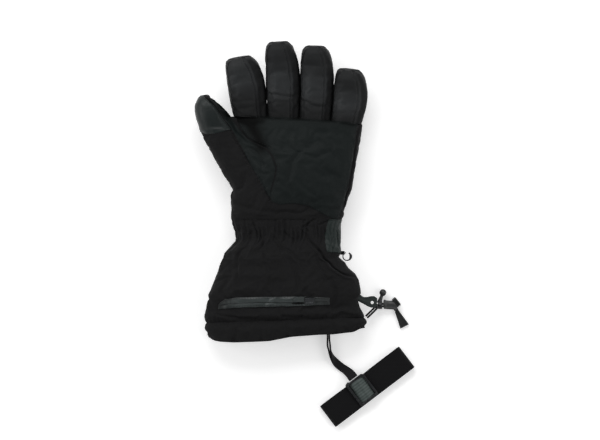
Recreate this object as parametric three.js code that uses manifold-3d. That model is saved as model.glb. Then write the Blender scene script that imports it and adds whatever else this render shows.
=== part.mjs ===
// A left-hand insulated glove with a flared gauntlet cuff, lying on its back with the palm up.
// Millimetres. +X runs to the little finger's side, +Y to the fingertips, +Z up out of the palm.
import * as THREE from "three";
import { mergeVertices } from "three/addons/utils/BufferGeometryUtils.js";
import Module from "manifold-3d";

const wasm = await Module();
wasm.setup();

// Clearances
const seamGap = 0.3; // between two sewn pieces
const skinGap = 0.35; // under a panel that lies on a shell
const fingerGap = 0.9; // between the roots of two fingers

// Cuff, hem and wrist
const hemWidth = 178;
const hemLength = 17;
const hemDepth = 40;
const hemWall = 4.6;
const hemTilt = 4.3; // degrees, the hem edge climbs towards the little finger's side
const cuffLength = 80;
const cuffTopWidth = 125;
const cuffDepth = 45;
const cuffWall = 3.6;
const wristLength = 34;
const wristWidth = 114.5;
const wristDepth = 37;
const wristWall = 3;
const wristLift = 1.6; // how far the gathers stand off the surface below
const ribCount = 30;
const ribDepth = 1.6;

// Hand
const handLength = 105;
const palmWidth = 140.6;
const palmDepth = 45;
const knuckleDepth = 38;
const knuckleTilt = -3.5; // degrees, the knuckle line drops towards the little finger
const handWall = 2.8;
const handShift = 12.5; // the knuckles' centre, off the cuff's centre line
const leather = 1.2;
const squareness = 2.7; // exponent of the rounded sections of hand, wrist, cuff and thumb
const flatness = 1.16; // how much of the back is pressed flat

// Fingers: share is of the palm's width, long and climb are of the longest finger's length, lean is
// in degrees, and swell is how far the side next to the little finger stands out, of half the width
const fingerLength = 86; // the longest, from the knuckle line
const fingerWall = 2.6;
const fingerRootDepth = 35;
const fingerSquareness = 3.2;
const fingers = [
  { name: "index", share: 0.269, long: 0.775, lean: 9.5, climb: 0.198, swell: 0.08 },
  { name: "middle", share: 0.248, long: 1, lean: 3.1, climb: 0.256, swell: 0.02 },
  { name: "ring", share: 0.245, long: 0.965, lean: -0.2, climb: 0.244, swell: 0.02 },
  { name: "little", share: 0.238, long: 0.695, lean: -4.2, climb: 0.174, swell: 0.14 },
];

// Thumb
const thumbLength = 100;
const thumbWidth = 44;
const thumbDepth = 36;
const thumbWall = 2.6;
const thumbLean = 28.9; // degrees
const thumbRootX = -43;
const thumbRootUp = 44; // above the wrist, along the hand
const thumbHeight = 22;
const thumbRise = 8;

// Zip of the cuff pocket
const zipLength = 118;
const zipTapeWidth = 4;
const zipTapeThick = 0.9;
const zipSlot = 0.8;
const zipShare = 0.254; // its place along the cuff
const zipTilt = 1.6; // degrees
const sliderLength = 9;
const sliderWidth = 6.5;
const sliderThick = 2.4;
const pullerLength = 13;
const pullerWidth = 6;
const pullerThick = 1.6;

// Ring at the side of the wrist
const ringWire = 1.5;
const ringRadius = 4.4;
const ringOut = 4.8; // from the tab's middle to the ring's
const ringDrop = 3.9;
const ringTabShare = 0.92; // its place along the cuff
const ringTabWidth = 4.6;
const ringTabLength = 3;
const ringTabThick = 2.2;

// Cuff drawcord
const tabShare = 0.31; // its place along the cuff
const tabThick = 1.2;
const tabWidth = 9;
const tabLength = 18;
const tabSlope = 24; // degrees, down from the cuff
const eyeletRadius = 1.5;
const cordExitUp = 3;
const cordExitHeight = 14;
const drawcordWidth = 2.2;
const drawcordSpacing = 2.6;
const boreClear = 0.4;
const lockRadius = 4.6;
const lockLength = 5;
const lockOffset = 1.2;
const lockAhead = 0.8;
const stemLean = 20; // degrees
const lockStemRadius = 2.2;
const lockStemLength = 11.8;
const lockBallRadius = 4.4;
const barrelRadius = 5.3;
const barrelLength = 15.6;
const barrelOffset = 1;
const capTurn = 38; // degrees
const barrelCapRadius = 5.9;
const barrelCapLength = 5;
const pullTabThick = 3;
const pullTabLength = 20.2;
const pullTabWidth = 10.5;
const pullTabNeck = 3;
const pullTabTurn = -62.7; // degrees

// Wrist leash
const strapShare = 0.254; // its place along the hem, from the middle
const strapWidth = 9;
const strapThick = 2;
const bandLength = 110;
const bandWidth = 27.8;
const bandThick = 1.6;
const bandOpening = 5.2; // between the two layers of the loop
const bandTurn = 37.2; // degrees
const buckleBar = 2.8;
const buckleSpan = 30; // across the band
const buckleWidth = 24; // along the band
const buckleThick = 2.4;
const buckleShare = 0.058; // from the buckle to the band's middle, of its length
const buckleOverhang = 1.2;
const sleeveThick = 1.4;
const sleeveDome = 2.2;

// How finely the shells are drawn
const shellSides = 36;
const fingerSides = 16;
const thumbSides = 20;

const degrees = Math.PI / 180;
const clamp01 = (value) => Math.min(1, Math.max(0, value));
const mix = (a, b, share) => a + (b - a) * share;
const ease = (value) => clamp01(value) ** 2 * (3 - 2 * clamp01(value));

// Materials
const finish = (color, roughness, metalness = 0) =>
  new THREE.MeshStandardMaterial({ color, roughness, metalness });
const softshell = finish(0x1e1e1e, 0.9);
const leatherBlack = finish(0x1d2222, 0.5);
const leatherSoft = finish(0x2e3133, 0.45);
const coated = finish(0x37413f, 0.45);
const plastic = finish(0x101214, 0.35);
const webbing = finish(0x0b0b0d, 0.85);
const satin = finish(0x4a5452, 0.4);
const metalBlack = finish(0x22262a, 0.3, 0.8);

const glove = new THREE.Group();
const cordPieces = new Set();

// Geometry helpers: every solid is kept as a list of points and a list of triangles
function signedVolume(points, faces) {
  let sum = 0;
  for (const [a, b, c] of faces) {
    sum += points[a].dot(new THREE.Vector3().crossVectors(points[b], points[c]));
  }
  return sum / 6;
}

function geometryOf(points, faces) {
  const outward = signedVolume(points, faces) >= 0;
  const index = faces.flatMap(([a, b, c]) => (outward ? [a, b, c] : [a, c, b]));
  return new THREE.BufferGeometry().setFromPoints(points).setIndex(index);
}

function solidOf(geometry) {
  const bare = geometry.clone();
  for (const name of Object.keys(bare.attributes)) {
    if (name !== "position") bare.deleteAttribute(name);
  }
  const merged = mergeVertices(bare, 1e-3);
  return new wasm.Manifold(
    new wasm.Mesh({
      numProp: 3,
      vertProperties: merged.attributes.position.array,
      triVerts: new Uint32Array(merged.index.array),
    }),
  );
}

function geometryFrom(solid) {
  const bodies = solid.decompose();
  bodies.sort((a, b) => b.volume() - a.volume());
  const mesh = bodies[0].getMesh();
  return new THREE.BufferGeometry()
    .setAttribute("position", new THREE.BufferAttribute(new Float32Array(mesh.vertProperties), 3))
    .setIndex(new THREE.BufferAttribute(new Uint32Array(mesh.triVerts), 1));
}

function piece(name, geometry, material, onCord = false) {
  const mesh = new THREE.Mesh(geometry, material);
  mesh.name = name;
  glove.add(mesh);
  if (onCord) cordPieces.add(mesh);
  return mesh;
}

// A table's rows, from the names of its columns and a list of values for each row
function table(columns, rows) {
  return rows.map((values) => Object.fromEntries(columns.map((name, k) => [name, values[k]])));
}

// A row of a table at any place between its rows, by a curve through them
function readTable(rows, key, at) {
  const last = rows.length - 1;
  let k = 0;
  while (k < last - 1 && at > rows[k + 1][key]) k += 1;
  const share = clamp01((at - rows[k][key]) / (rows[k + 1][key] - rows[k][key]));
  const result = {};
  for (const column of Object.keys(rows[0])) {
    const before = rows[Math.max(0, k - 1)][column];
    const from = rows[k][column];
    const to = rows[k + 1][column];
    const after = rows[Math.min(last, k + 2)][column];
    const bend = share * (1 - share) * 0.5;
    const pull = (1 - share) * (2 * from - before - to) + share * (2 * to - from - after);
    result[column] = column === key ? at : mix(from, to, share) + bend * pull;
  }
  return result;
}

// A point of a rounded section: turn 0 is its +side end, a quarter turn its top
function sectionPoint(section, turn, inset = 0) {
  const across = Math.cos(turn);
  const along = Math.sin(turn);
  const power = 2 / section.squareness;
  const sideways = Math.sign(across) * Math.abs(across) ** power * (section.half - inset);
  let upward = Math.sign(along) * Math.abs(along) ** power;
  upward *= along >= 0 ? section.above - inset : (section.below - inset) * section.press;
  upward = Math.max(upward, inset - section.below);
  const point = section.centre.clone().addScaledVector(section.side, sideways);
  return point.addScaledVector(section.up, upward);
}

function ringOf(section, sides, inset, rib = () => 0) {
  const ring = [];
  for (let k = 0; k < sides; k += 1) {
    const turn = (2 * Math.PI * k) / sides;
    ring.push(sectionPoint(section, turn, inset + rib(k)));
  }
  return ring;
}

// Joins rings of equal length into one closed surface. Ends are fanned shut, or the rings meet in a circle.
function skinOf(rings, endless) {
  const sides = rings[0].length;
  const points = rings.flat();
  const faces = [];
  const rows = endless ? rings.length : rings.length - 1;
  for (let r = 0; r < rows; r += 1) {
    const next = (r + 1) % rings.length;
    for (let k = 0; k < sides; k += 1) {
      const a = r * sides + k;
      const b = r * sides + ((k + 1) % sides);
      const c = next * sides + ((k + 1) % sides);
      const d = next * sides + k;
      faces.push([a, b, c], [a, c, d]);
    }
  }
  if (!endless) {
    for (const [row, flip] of [
      [0, true],
      [rings.length - 1, false],
    ]) {
      const centre = new THREE.Vector3();
      rings[row].forEach((point) => centre.addScaledVector(point, 1 / sides));
      points.push(centre);
      for (let k = 0; k < sides; k += 1) {
        const a = row * sides + k;
        const b = row * sides + ((k + 1) % sides);
        faces.push(flip ? [b, a, points.length - 1] : [a, b, points.length - 1]);
      }
    }
  }
  return geometryOf(points, faces);
}

// The body of the glove, one surface from the hem to the knuckles
const hemTop = hemLength;
const cuffTop = hemTop + cuffLength;
const wristTop = cuffTop + wristLength;
const knuckles = wristTop + handLength;
const bodyRows = table(["y", "centre", "width", "high", "low", "tilt"], [
  [0, 1.5, hemWidth * 0.98, hemDepth * 0.94, 0, hemTilt],
  [hemTop * 0.6, 0, hemWidth, hemDepth, 0, hemTilt * 0.6],
  [hemTop, 0, hemWidth * 0.985, hemDepth * 0.93, 0, hemTilt * 0.47],
  [hemTop + cuffLength * 0.08, 0, hemWidth * 0.995, cuffDepth * 0.93, 0, hemTilt * 0.4],
  [hemTop + cuffLength * 0.17, -0.5, hemWidth * 0.97, cuffDepth * 0.9, 0, hemTilt * 0.3],
  [hemTop + cuffLength * 0.3, -1, hemWidth * 0.94, cuffDepth, 0, 0.5],
  [hemTop + cuffLength * 0.62, 0, hemWidth * 0.855, cuffDepth, 0, 0],
  [hemTop + cuffLength * 0.84, -4.4, cuffTopWidth * 1.06, cuffDepth * 0.96, 0, 0],
  [cuffTop, -2.5, cuffTopWidth * 0.97, cuffDepth * 0.9, 0, 0],
  [cuffTop + wristLength * 0.3, 1.5, wristWidth, wristDepth, wristLift, 0],
  [cuffTop + wristLength * 0.65, 1.5, wristWidth * 1.01, wristDepth, wristLift, 0],
  [wristTop, 1, wristWidth * 1.05, wristDepth * 1.06, 0, 0],
  [wristTop + handLength * 0.25, handShift * 0.42, palmWidth * 0.935, palmDepth, 0, 0],
  [wristTop + handLength * 0.6, handShift * 0.74, palmWidth * 0.97, palmDepth, 0, 0],
  [knuckles, handShift, palmWidth, knuckleDepth, 0, knuckleTilt],
]);

function bodySection(y) {
  const row = readTable(bodyRows, "y", y);
  const low = Math.max(0, row.low);
  const middle = (row.high + low) / 2;
  return {
    centre: new THREE.Vector3(row.centre, y, middle),
    side: new THREE.Vector3(Math.cos(row.tilt * degrees), Math.sin(row.tilt * degrees), 0),
    up: new THREE.Vector3(0, 0, 1),
    half: row.width / 2,
    above: row.high - middle,
    below: middle - low,
    press: flatness,
    squareness,
  };
}

// The places along the body where a shell is drawn: its ends and the table's rows between them
function stationsBetween(from, to) {
  return [from, ...bodyRows.map((row) => row.y).filter((y) => y > from + 1 && y < to - 1), to];
}

function bodyTube(stations, wall, sides = shellSides, rib = undefined) {
  const outside = [];
  const inside = [];
  for (const y of stations) {
    const section = bodySection(y);
    outside.push(ringOf(section, sides, 0, rib));
    inside.unshift(ringOf(section, sides, wall, rib));
  }
  return skinOf([...outside, ...inside], true);
}

piece("cuff_hem", bodyTube(stationsBetween(0, hemTop - seamGap), hemWall), softshell);
piece("cuff", bodyTube(stationsBetween(hemTop, cuffTop - seamGap), cuffWall), softshell);

// The shirred wrist: every second point of its rings is drawn in
const ribs = (k) => (k % 2 ? ribDepth : 0);
const wristStations = stationsBetween(cuffTop, wristTop - seamGap);
piece("wrist_gathers", bodyTube(wristStations, wristWall, ribCount * 2, ribs), softshell);

// Thumb: a tapering stall whose root ends inside the hand
const thumbRows = [
  { s: -0.16, width: 1.02, depth: 0.94, rise: 0 },
  { s: 0.08, width: 1.08, depth: 1, rise: 0 },
  { s: 0.35, width: 1, depth: 1, rise: 0.1 },
  { s: 0.62, width: 0.86, depth: 0.93, rise: 0.35 },
  { s: 0.8, width: 0.72, depth: 0.84, rise: 0.65 },
  { s: 0.92, width: 0.55, depth: 0.7, rise: 0.88 },
  { s: 0.985, width: 0.33, depth: 0.45, rise: 0.98 },
  { s: 1, width: 0.14, depth: 0.2, rise: 1 },
];
const thumbRoot = new THREE.Vector3(thumbRootX, wristTop + thumbRootUp, thumbHeight);
const thumbAxis = new THREE.Vector3(-Math.sin(thumbLean * degrees), Math.cos(thumbLean * degrees), 0);

// A stall's section at share s of its length, square to its rising centre line
const slopeStep = 0.02;
const upwards = new THREE.Vector3(0, 0, 1);
function stallSection(stall, s) {
  const row = readTable(stall.rows, "s", s);
  const riseAt = (share) => readTable(stall.rows, "s", share).rise;
  const slope = (riseAt(s + slopeStep) - riseAt(s - slopeStep)) / (2 * slopeStep);
  const climb = Math.atan2(slope * stall.rise, stall.length);
  const side = stall.sideAt(s);
  const swell = (stall.swell ?? 0) * Math.sin(Math.PI * clamp01(s));
  const forward = stall.axis.clone().multiplyScalar(Math.cos(climb));
  forward.z = Math.sin(climb);
  const centre = stall.root.clone().addScaledVector(stall.axis, s * stall.length);
  centre.addScaledVector(side, (((row.shift ?? 0) + swell / 2) * stall.width) / 2);
  centre.z += row.rise * stall.rise;
  return {
    centre,
    side,
    up: new THREE.Vector3().crossVectors(side, forward).normalize(),
    half: ((row.width + swell / 2) * stall.width) / 2,
    above: (row.depth * stall.depth) / 2,
    below: (row.depth * stall.depth) / 2,
    press: 1,
    squareness: stall.squareness,
  };
}

function stallSkin(stall, from, sides, inset) {
  const rings = [];
  for (const s of stall.stations) {
    if (s >= from) rings.push(ringOf(stallSection(stall, s), sides, inset));
  }
  return rings;
}

const thumbSide = new THREE.Vector3().crossVectors(thumbAxis, upwards);
const thumb = {
  root: thumbRoot,
  axis: thumbAxis,
  sideAt: () => thumbSide,
  length: thumbLength,
  width: thumbWidth,
  depth: thumbDepth,
  rise: thumbRise,
  squareness,
  rows: thumbRows,
  stations: thumbRows.map((row) => row.s),
};

// The stall's inside stops short of the tip by its wall
function stallInside(stall, from, sides, wall) {
  const rings = [];
  const end = 1 - wall / stall.length;
  for (const s of stall.stations) {
    const section = stallSection(stall, Math.min(s, 1) * (s > 0 ? end : 1));
    if (s < from || section.half <= wall * 1.6) continue;
    rings.push(ringOf(section, sides, wall));
  }
  return rings;
}

const thumbOutside = solidOf(skinOf(stallSkin(thumb, -1, thumbSides, 0), false));
const thumbInside = solidOf(skinOf(stallInside(thumb, -1, thumbSides, thumbWall), false));
const thumbRoom = solidOf(skinOf(stallSkin(thumb, -1, thumbSides, -seamGap), false));

// The hand: a tube open at the wrist and at the knuckles, with a hole for the thumb
const handRows = 6;
const handStations = Array.from({ length: handRows + 1 }, (_, r) => mix(wristTop, knuckles, r / handRows));
const handShell = solidOf(bodyTube(handStations, handWall));
piece("hand_shell", geometryFrom(handShell.subtract(thumbInside)), softshell);

// The thumb stall, cut back to the hand's outside with the seam's clearance
const roomStations = [wristTop - wristLength / 3, ...handStations];
const roomRings = roomStations.map((y) => ringOf(bodySection(y), shellSides, -seamGap));
const handRoom = solidOf(skinOf(roomRings, false));
piece("thumb", geometryFrom(thumbOutside.subtract(thumbInside).subtract(handRoom)), softshell);

// Fingers, side by side along the knuckle line
const fingerRows = [
  { s: 0, width: 1, shift: 0, depth: 1, rise: 0 },
  { s: 0.2, width: 1.015, shift: 0.015, depth: 0.98, rise: 0.02 },
  { s: 0.42, width: 1.035, shift: 0.035, depth: 0.94, rise: 0.12 },
  { s: 0.64, width: 1.02, shift: 0.03, depth: 0.88, rise: 0.36 },
  { s: 0.8, width: 0.97, shift: -0.01, depth: 0.8, rise: 0.62 },
  { s: 0.91, width: 0.87, shift: -0.08, depth: 0.71, rise: 0.82 },
  { s: 0.975, width: 0.73, shift: -0.13, depth: 0.54, rise: 0.95 },
  { s: 1, width: 0.52, shift: -0.14, depth: 0.3, rise: 1 },
];
const knuckleSide = bodySection(knuckles).side;
const knuckleMiddle = new THREE.Vector3(handShift, knuckles + seamGap, (knuckleDepth + 1) / 2);
let taken = -0.5;
for (const finger of fingers) {
  const share = taken + finger.share / 2;
  taken += finger.share;
  finger.root = knuckleMiddle.clone().addScaledVector(knuckleSide, share * palmWidth);
  finger.axis = new THREE.Vector3(-Math.sin(finger.lean * degrees), Math.cos(finger.lean * degrees), 0);
  finger.length = finger.long * fingerLength;
  finger.rise = finger.climb * fingerLength;
  finger.width = finger.share * palmWidth - fingerGap;
  finger.depth = fingerRootDepth;
  finger.squareness = fingerSquareness;
  finger.rows = fingerRows;
  finger.stations = fingerRows.map((row) => row.s);
  const across = new THREE.Vector3().crossVectors(finger.axis, upwards);
  finger.sideAt = (s) => knuckleSide.clone().lerp(across, ease(s / 0.3)).normalize();
  const outside = stallSkin(finger, 0, fingerSides, 0);
  const inside = stallInside(finger, 0, fingerSides, fingerWall);
  const bulk = solidOf(skinOf(outside, false));
  const hollow = solidOf(skinOf([shifted(inside[0], finger.axis, -1), ...inside], false));
  piece(`${finger.name}_finger`, geometryFrom(bulk.subtract(hollow)), leatherSoft);
}

function shifted(ring, direction, distance) {
  return ring.map((point) => point.clone().addScaledVector(direction, distance));
}

// A panel that follows a shell: surface(u, v) gives points, u across and v along, both from 0 to 1
function panel(surface, columns, rows, thick, lift = skinGap) {
  const points = [];
  const step = 1e-3;
  for (const height of [lift, lift + thick]) {
    for (let r = 0; r <= rows; r += 1) {
      for (let c = 0; c <= columns; c += 1) {
        const u = c / columns;
        const v = r / rows;
        const here = surface(u, v);
        const alongU = surface(u + step, v).sub(surface(u - step, v));
        const alongV = surface(u, v + step).sub(surface(u, v - step));
        const normal = alongU.cross(alongV).normalize();
        points.push(here.addScaledVector(normal, height));
      }
    }
  }
  const faces = [];
  const wide = columns + 1;
  const layer = wide * (rows + 1);
  const quad = (a, b, c, d) => faces.push([a, b, c], [a, c, d]);
  for (let r = 0; r < rows; r += 1) {
    for (let c = 0; c < columns; c += 1) {
      const a = r * wide + c;
      quad(a, a + wide, a + wide + 1, a + 1);
      quad(layer + a, layer + a + 1, layer + a + wide + 1, layer + a + wide);
    }
    const left = r * wide;
    const right = left + columns;
    quad(left, layer + left, layer + left + wide, left + wide);
    quad(right, right + wide, layer + right + wide, layer + right);
  }
  for (let c = 0; c < columns; c += 1) {
    const far = rows * wide + c;
    quad(c, c + 1, layer + c + 1, layer + c);
    quad(far, layer + far, layer + far + 1, far + 1);
  }
  return geometryOf(points, faces);
}

// A point on the body's upper side, given x and y
function palmPoint(x, y, rise = 0) {
  const section = bodySection(y);
  const share = Math.min(0.999, Math.max(-0.999, (x - section.centre.x) / section.half));
  const turn = Math.acos(Math.sign(share) * Math.abs(share) ** (squareness / 2));
  return sectionPoint(section, turn, -rise);
}

// The same on the hand, straight between the rows that its shell is drawn through
function handPoint(x, y) {
  const place = clamp01((y - wristTop) / handLength) * handRows;
  const row = Math.min(Math.floor(place), handRows - 1);
  const from = palmPoint(x, mix(wristTop, knuckles, row / handRows));
  return from.lerp(palmPoint(x, mix(wristTop, knuckles, (row + 1) / handRows)), place - row);
}

// Palm patch of leather, from the heel of the hand to the knuckles
const palmPatchRows = [
  { v: 0, left: -0.15, right: 0.36 },
  { v: 0.12, left: -0.17, right: 0.42 },
  { v: 0.35, left: -0.14, right: 0.46 },
  { v: 0.58, left: -0.13, right: 0.48 },
  { v: 0.74, left: -0.2, right: 0.5 },
  { v: 0.86, left: -0.31, right: 0.51 },
  { v: 1, left: -0.36, right: 0.53 },
];
const palmPatchFrom = wristTop + handLength * 0.12;
const palmPatchDrop = handLength * 0.1;
const palmPatchSurface = (u, v) => {
  const row = readTable(palmPatchRows, "v", clamp01(v));
  const x = mix(row.left, row.right, u) * palmWidth;
  const low = palmPatchFrom - palmPatchDrop * ease((u - 0.35) / 0.65);
  return handPoint(x, mix(low, knuckles - 1, v));
};
const palmPatch = solidOf(panel(palmPatchSurface, 12, 9, leather, 2 * skinGap));
piece("palm_patch", geometryFrom(palmPatch.subtract(thumbRoom)), leatherBlack);

// Leather strip on the palm side of each finger, and the thumb tip's panel
function stallPanel(stall, from, to, firstTurn, lastTurn, columns) {
  const marks = [from, ...stall.stations.filter((s) => s > from && s < to), to];
  const pointAt = (s, turn) => sectionPoint(stallSection(stall, s), turn);
  const surface = (u, v) => {
    const place = clamp01(v) * (marks.length - 1);
    const k = Math.min(Math.floor(place), marks.length - 2);
    const s = mix(marks[k], marks[k + 1], place - k);
    const turn = mix(lastTurn, firstTurn, u) * Math.PI;
    const above = stall.stations.findIndex((station) => station >= s);
    const [low, high] = [stall.stations[above - 1], stall.stations[above]];
    return pointAt(low, turn).lerp(pointAt(high, turn), (s - low) / (high - low));
  };
  return panel(surface, columns, marks.length - 1, leather);
}
for (const finger of fingers) {
  piece(`${finger.name}_palm_strip`, stallPanel(finger, 0.03, 0.93, 0.4, 0.8, 5), leatherSoft);
}
piece("thumb_tip_panel", stallPanel(thumb, 0.63, 0.96, 0.42, 0.96, 6), leatherSoft);

// Side patch of coated cloth on the gathers
const patchFrom = cuffTop + 2;
const patchTo = wristTop - 3;
const patchTurns = [0.28, 0.02]; // half turns round the wrist
const sidePatch = (u, v) => {
  const turn = mix(...patchTurns, u) * Math.PI;
  return sectionPoint(bodySection(mix(patchFrom, patchTo, v)), turn);
};
piece("wrist_side_patch", panel(sidePatch, 5, 5, leather, 2 * skinGap), coated);

// Zip: two tapes with a slot between them, on the cuff's palm side
const zipMiddle = new THREE.Vector3(-9.5, hemTop + cuffLength * zipShare, 0);
function zipPoint(along, across) {
  const turn = zipTilt * degrees;
  const x = zipMiddle.x + along * Math.cos(turn) - across * Math.sin(turn);
  const y = zipMiddle.y + along * Math.sin(turn) + across * Math.cos(turn);
  return palmPoint(x, y);
}
function zipTape(from, to) {
  return (u, v) => zipPoint((u - 0.5) * zipLength, mix(from, to, v));
}
const tapeInner = zipSlot / 2;
const tapeOuter = tapeInner + zipTapeWidth;
piece("zip_tape_upper", panel(zipTape(tapeInner, tapeOuter), 14, 1, zipTapeThick), coated);
piece("zip_tape_lower", panel(zipTape(-tapeOuter, -tapeInner), 14, 1, zipTapeThick), coated);

// Slider and puller lie on the tapes near the zip's closed end
const sliderAt = zipLength * 0.305;
const sliderBase = skinGap + zipTapeThick + seamGap;
function plate(width, length, thick, corner) {
  const shape = new THREE.Shape();
  const x = length / 2;
  const y = width / 2;
  shape.moveTo(-x + corner, -y);
  shape.lineTo(x - corner, -y);
  shape.absarc(x - corner, -y + corner, corner, -Math.PI / 2, 0);
  shape.absarc(x - corner, y - corner, corner, 0, Math.PI / 2);
  shape.absarc(-x + corner, y - corner, corner, Math.PI / 2, Math.PI);
  shape.absarc(-x + corner, -y + corner, corner, Math.PI, 1.5 * Math.PI);
  return new THREE.ExtrudeGeometry(shape, { depth: thick, bevelEnabled: false, curveSegments: 3 });
}
function onCuff(mesh, along, across, height) {
  const here = zipPoint(along, across);
  const ahead = zipPoint(along + 1, across).sub(here).normalize();
  const aside = zipPoint(along, across + 1).sub(here).normalize();
  const normal = new THREE.Vector3().crossVectors(ahead, aside).normalize();
  const basis = new THREE.Matrix4().makeBasis(ahead, new THREE.Vector3().crossVectors(normal, ahead), normal);
  mesh.quaternion.setFromRotationMatrix(basis);
  mesh.position.copy(here).addScaledVector(normal, height);
}
const slider = piece("zip_slider", plate(sliderWidth, sliderLength, sliderThick, 1.5), metalBlack);
onCuff(slider, sliderAt, 0, sliderBase + 0.35);
const puller = piece("zip_puller", plate(pullerWidth, pullerLength, pullerThick, 1.8), plastic);
onCuff(puller, sliderAt - (sliderLength + pullerLength) / 2 - seamGap, 0, sliderBase + 0.35);

// Ring and its tab at the side of the wrist
const ringTabY = hemTop + cuffLength * ringTabShare;
const ringRow = bodySection(ringTabY);
const ringSide = ringRow.centre.x + ringRow.half;
const ringTab = piece("ring_tab", plate(ringTabWidth, ringTabLength, ringTabThick, 1), softshell);
const ringTabX = ringSide + 5 * seamGap + ringTabLength / 2;
ringTab.position.set(ringTabX, ringTabY, ringRow.centre.z - ringTabThick / 2);
const ringShape = new THREE.TorusGeometry(ringRadius, ringWire / 2, 6, 16);
const ring = piece("hook_ring", ringShape, plastic);
const ringLift = (ringTabThick + ringWire) / 2 + seamGap;
ring.position.set(ringTabX + ringOut, ringTabY - ringDrop, ringRow.centre.z + ringLift);

// Drawcord tab: a flat tongue of coated cloth with an eyelet, sloping down to the surface
const tabRow = bodySection(hemTop + cuffLength * tabShare);
const tongue = new THREE.Shape();
tongue.moveTo(0, tabWidth * 0.5);
tongue.lineTo(0, -tabWidth * 0.35);
tongue.lineTo(tabLength * 0.78, -tabWidth * 0.95);
tongue.absarc(tabLength * 0.78, -tabWidth * 0.35, tabWidth * 0.6, -Math.PI / 2, Math.PI / 2);
const eyelet = new THREE.Path();
eyelet.absarc(tabLength * 0.7, -tabWidth * 0.35, eyeletRadius, 0, 2 * Math.PI, true);
tongue.holes.push(eyelet);
const tongueForm = { depth: tabThick, bevelEnabled: false, curveSegments: 6 };
const cordTab = piece("drawcord_tab", new THREE.ExtrudeGeometry(tongue, tongueForm), coated);
cordTab.rotation.y = tabSlope * degrees;
const tabX = tabRow.centre.x + tabRow.half + 4 * seamGap;
cordTab.position.set(tabX, tabRow.centre.y, tabRow.centre.z - tabThick);

// A flat or round section swept along a route, turned about it by rollAt(share of the length)
function sweep(route, outline, steps, rollAt = () => 0) {
  const path = new THREE.CatmullRomCurve3(route, false, "centripetal");
  const rings = [];
  for (let k = 0; k <= steps; k += 1) {
    const share = k / steps;
    const here = path.getPointAt(share);
    const ahead = path.getTangentAt(share);
    const side = new THREE.Vector3().crossVectors(ahead, new THREE.Vector3(0, 0, 1)).normalize();
    side.applyAxisAngle(ahead, rollAt(share) * degrees);
    const up = new THREE.Vector3().crossVectors(side, ahead);
    rings.push(outline.map(([x, y]) => here.clone().addScaledVector(side, x).addScaledVector(up, y)));
  }
  return skinOf(rings, false);
}

function roundOutline(width, sides) {
  const outline = [];
  for (let k = 0; k < sides; k += 1) {
    const turn = (2 * Math.PI * k) / sides;
    outline.push([(Math.cos(turn) * width) / 2, (Math.sin(turn) * width) / 2]);
  }
  return outline;
}

function flatOutline(width, thick) {
  const x = width / 2;
  const y = thick / 2;
  const corner = thick * 0.3;
  return [
    [x, -y + corner],
    [x, y - corner],
    [x - corner, y],
    [-x + corner, y],
    [-x, y - corner],
    [-x, -y + corner],
    [-x + corner, -y],
    [x - corner, -y],
  ];
}

// Drawcord: two strands from the cuff's side, through the lock and its barrel, to the pull tab.
// Its route is a list of offsets from the place where it leaves the cuff.
const cordRow = bodySection(hemTop + cordExitUp);
const cordExitX = cordRow.centre.x + cordRow.half + 2 * seamGap;
const cordExit = new THREE.Vector3(cordExitX, cordRow.centre.y, cordExitHeight);
const drawcordRoute = [
  [0, 0, 0],
  [2.6, 2.3, -1.2],
  [6.2, 5.6, -4.2],
  [9.6, 8.9, -7],
  [12.6, 11.4, -8.2],
  [16.4, 12.6, -8.4],
  [20.5, 12.7, -8.4],
  [24.8, 12.6, -8.5],
  [28.2, 12, -9.2],
  [30.4, 10.9, -10.2],
  [31.9, 9.3, -11.3],
  [32.9, 7.4, -12.2],
];
const cordPoints = drawcordRoute.map(([x, y, z]) => cordExit.clone().add(new THREE.Vector3(x, y, z)));
for (const [name, sideways] of [
  ["drawcord_inner", -0.5],
  ["drawcord_outer", 0.5],
]) {
  const strand = cordPoints.map((point, k) => {
    const next = cordPoints[Math.min(k + 1, cordPoints.length - 1)];
    const ahead = next.clone().sub(cordPoints[Math.max(k - 1, 0)]);
    const side = new THREE.Vector3(ahead.y, -ahead.x, 0).normalize();
    return point.clone().addScaledVector(side, sideways * drawcordSpacing);
  });
  piece(name, sweep(strand, roundOutline(drawcordWidth, 8), 20), webbing, true);
}

// Lock body with its ball head, then the barrel and its cap: the cords run through both
function roundBar(radius, length, sides, from, towards) {
  const bar = new THREE.CylinderGeometry(radius, radius, length, sides);
  bar.translate(0, length / 2, 0);
  const turn = new THREE.Quaternion();
  turn.setFromUnitVectors(new THREE.Vector3(0, 1, 0), towards.clone().normalize());
  return bar.applyQuaternion(turn).translate(from.x, from.y, from.z);
}
const boreWidth = drawcordSpacing + drawcordWidth + 2 * boreClear;
const boreHeight = drawcordWidth + 2 * boreClear;
const bore = solidOf(sweep(cordPoints, flatOutline(boreWidth, boreHeight), 24));
const lockAxis = new THREE.Vector3(1, 0, 0);
const lockFrom = cordPoints[4].clone().add(new THREE.Vector3(lockAhead, lockOffset, 0));
const stemAxis = new THREE.Vector3(Math.sin(stemLean * degrees), Math.cos(stemLean * degrees), 0);
const stemFrom = lockFrom.clone().add(new THREE.Vector3(lockLength * 0.26, lockRadius * 0.5, 0));
const ballAt = stemFrom.clone().addScaledVector(stemAxis, lockStemLength);
const ball = new THREE.SphereGeometry(lockBallRadius, 12, 8).translate(ballAt.x, ballAt.y, ballAt.z);
const lockSolid = solidOf(roundBar(lockRadius, lockLength, 14, lockFrom, lockAxis))
  .add(solidOf(roundBar(lockStemRadius, lockStemLength, 12, stemFrom, stemAxis)))
  .add(solidOf(ball));
piece("drawcord_lock", geometryFrom(lockSolid.subtract(bore)), plastic, true);

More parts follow.
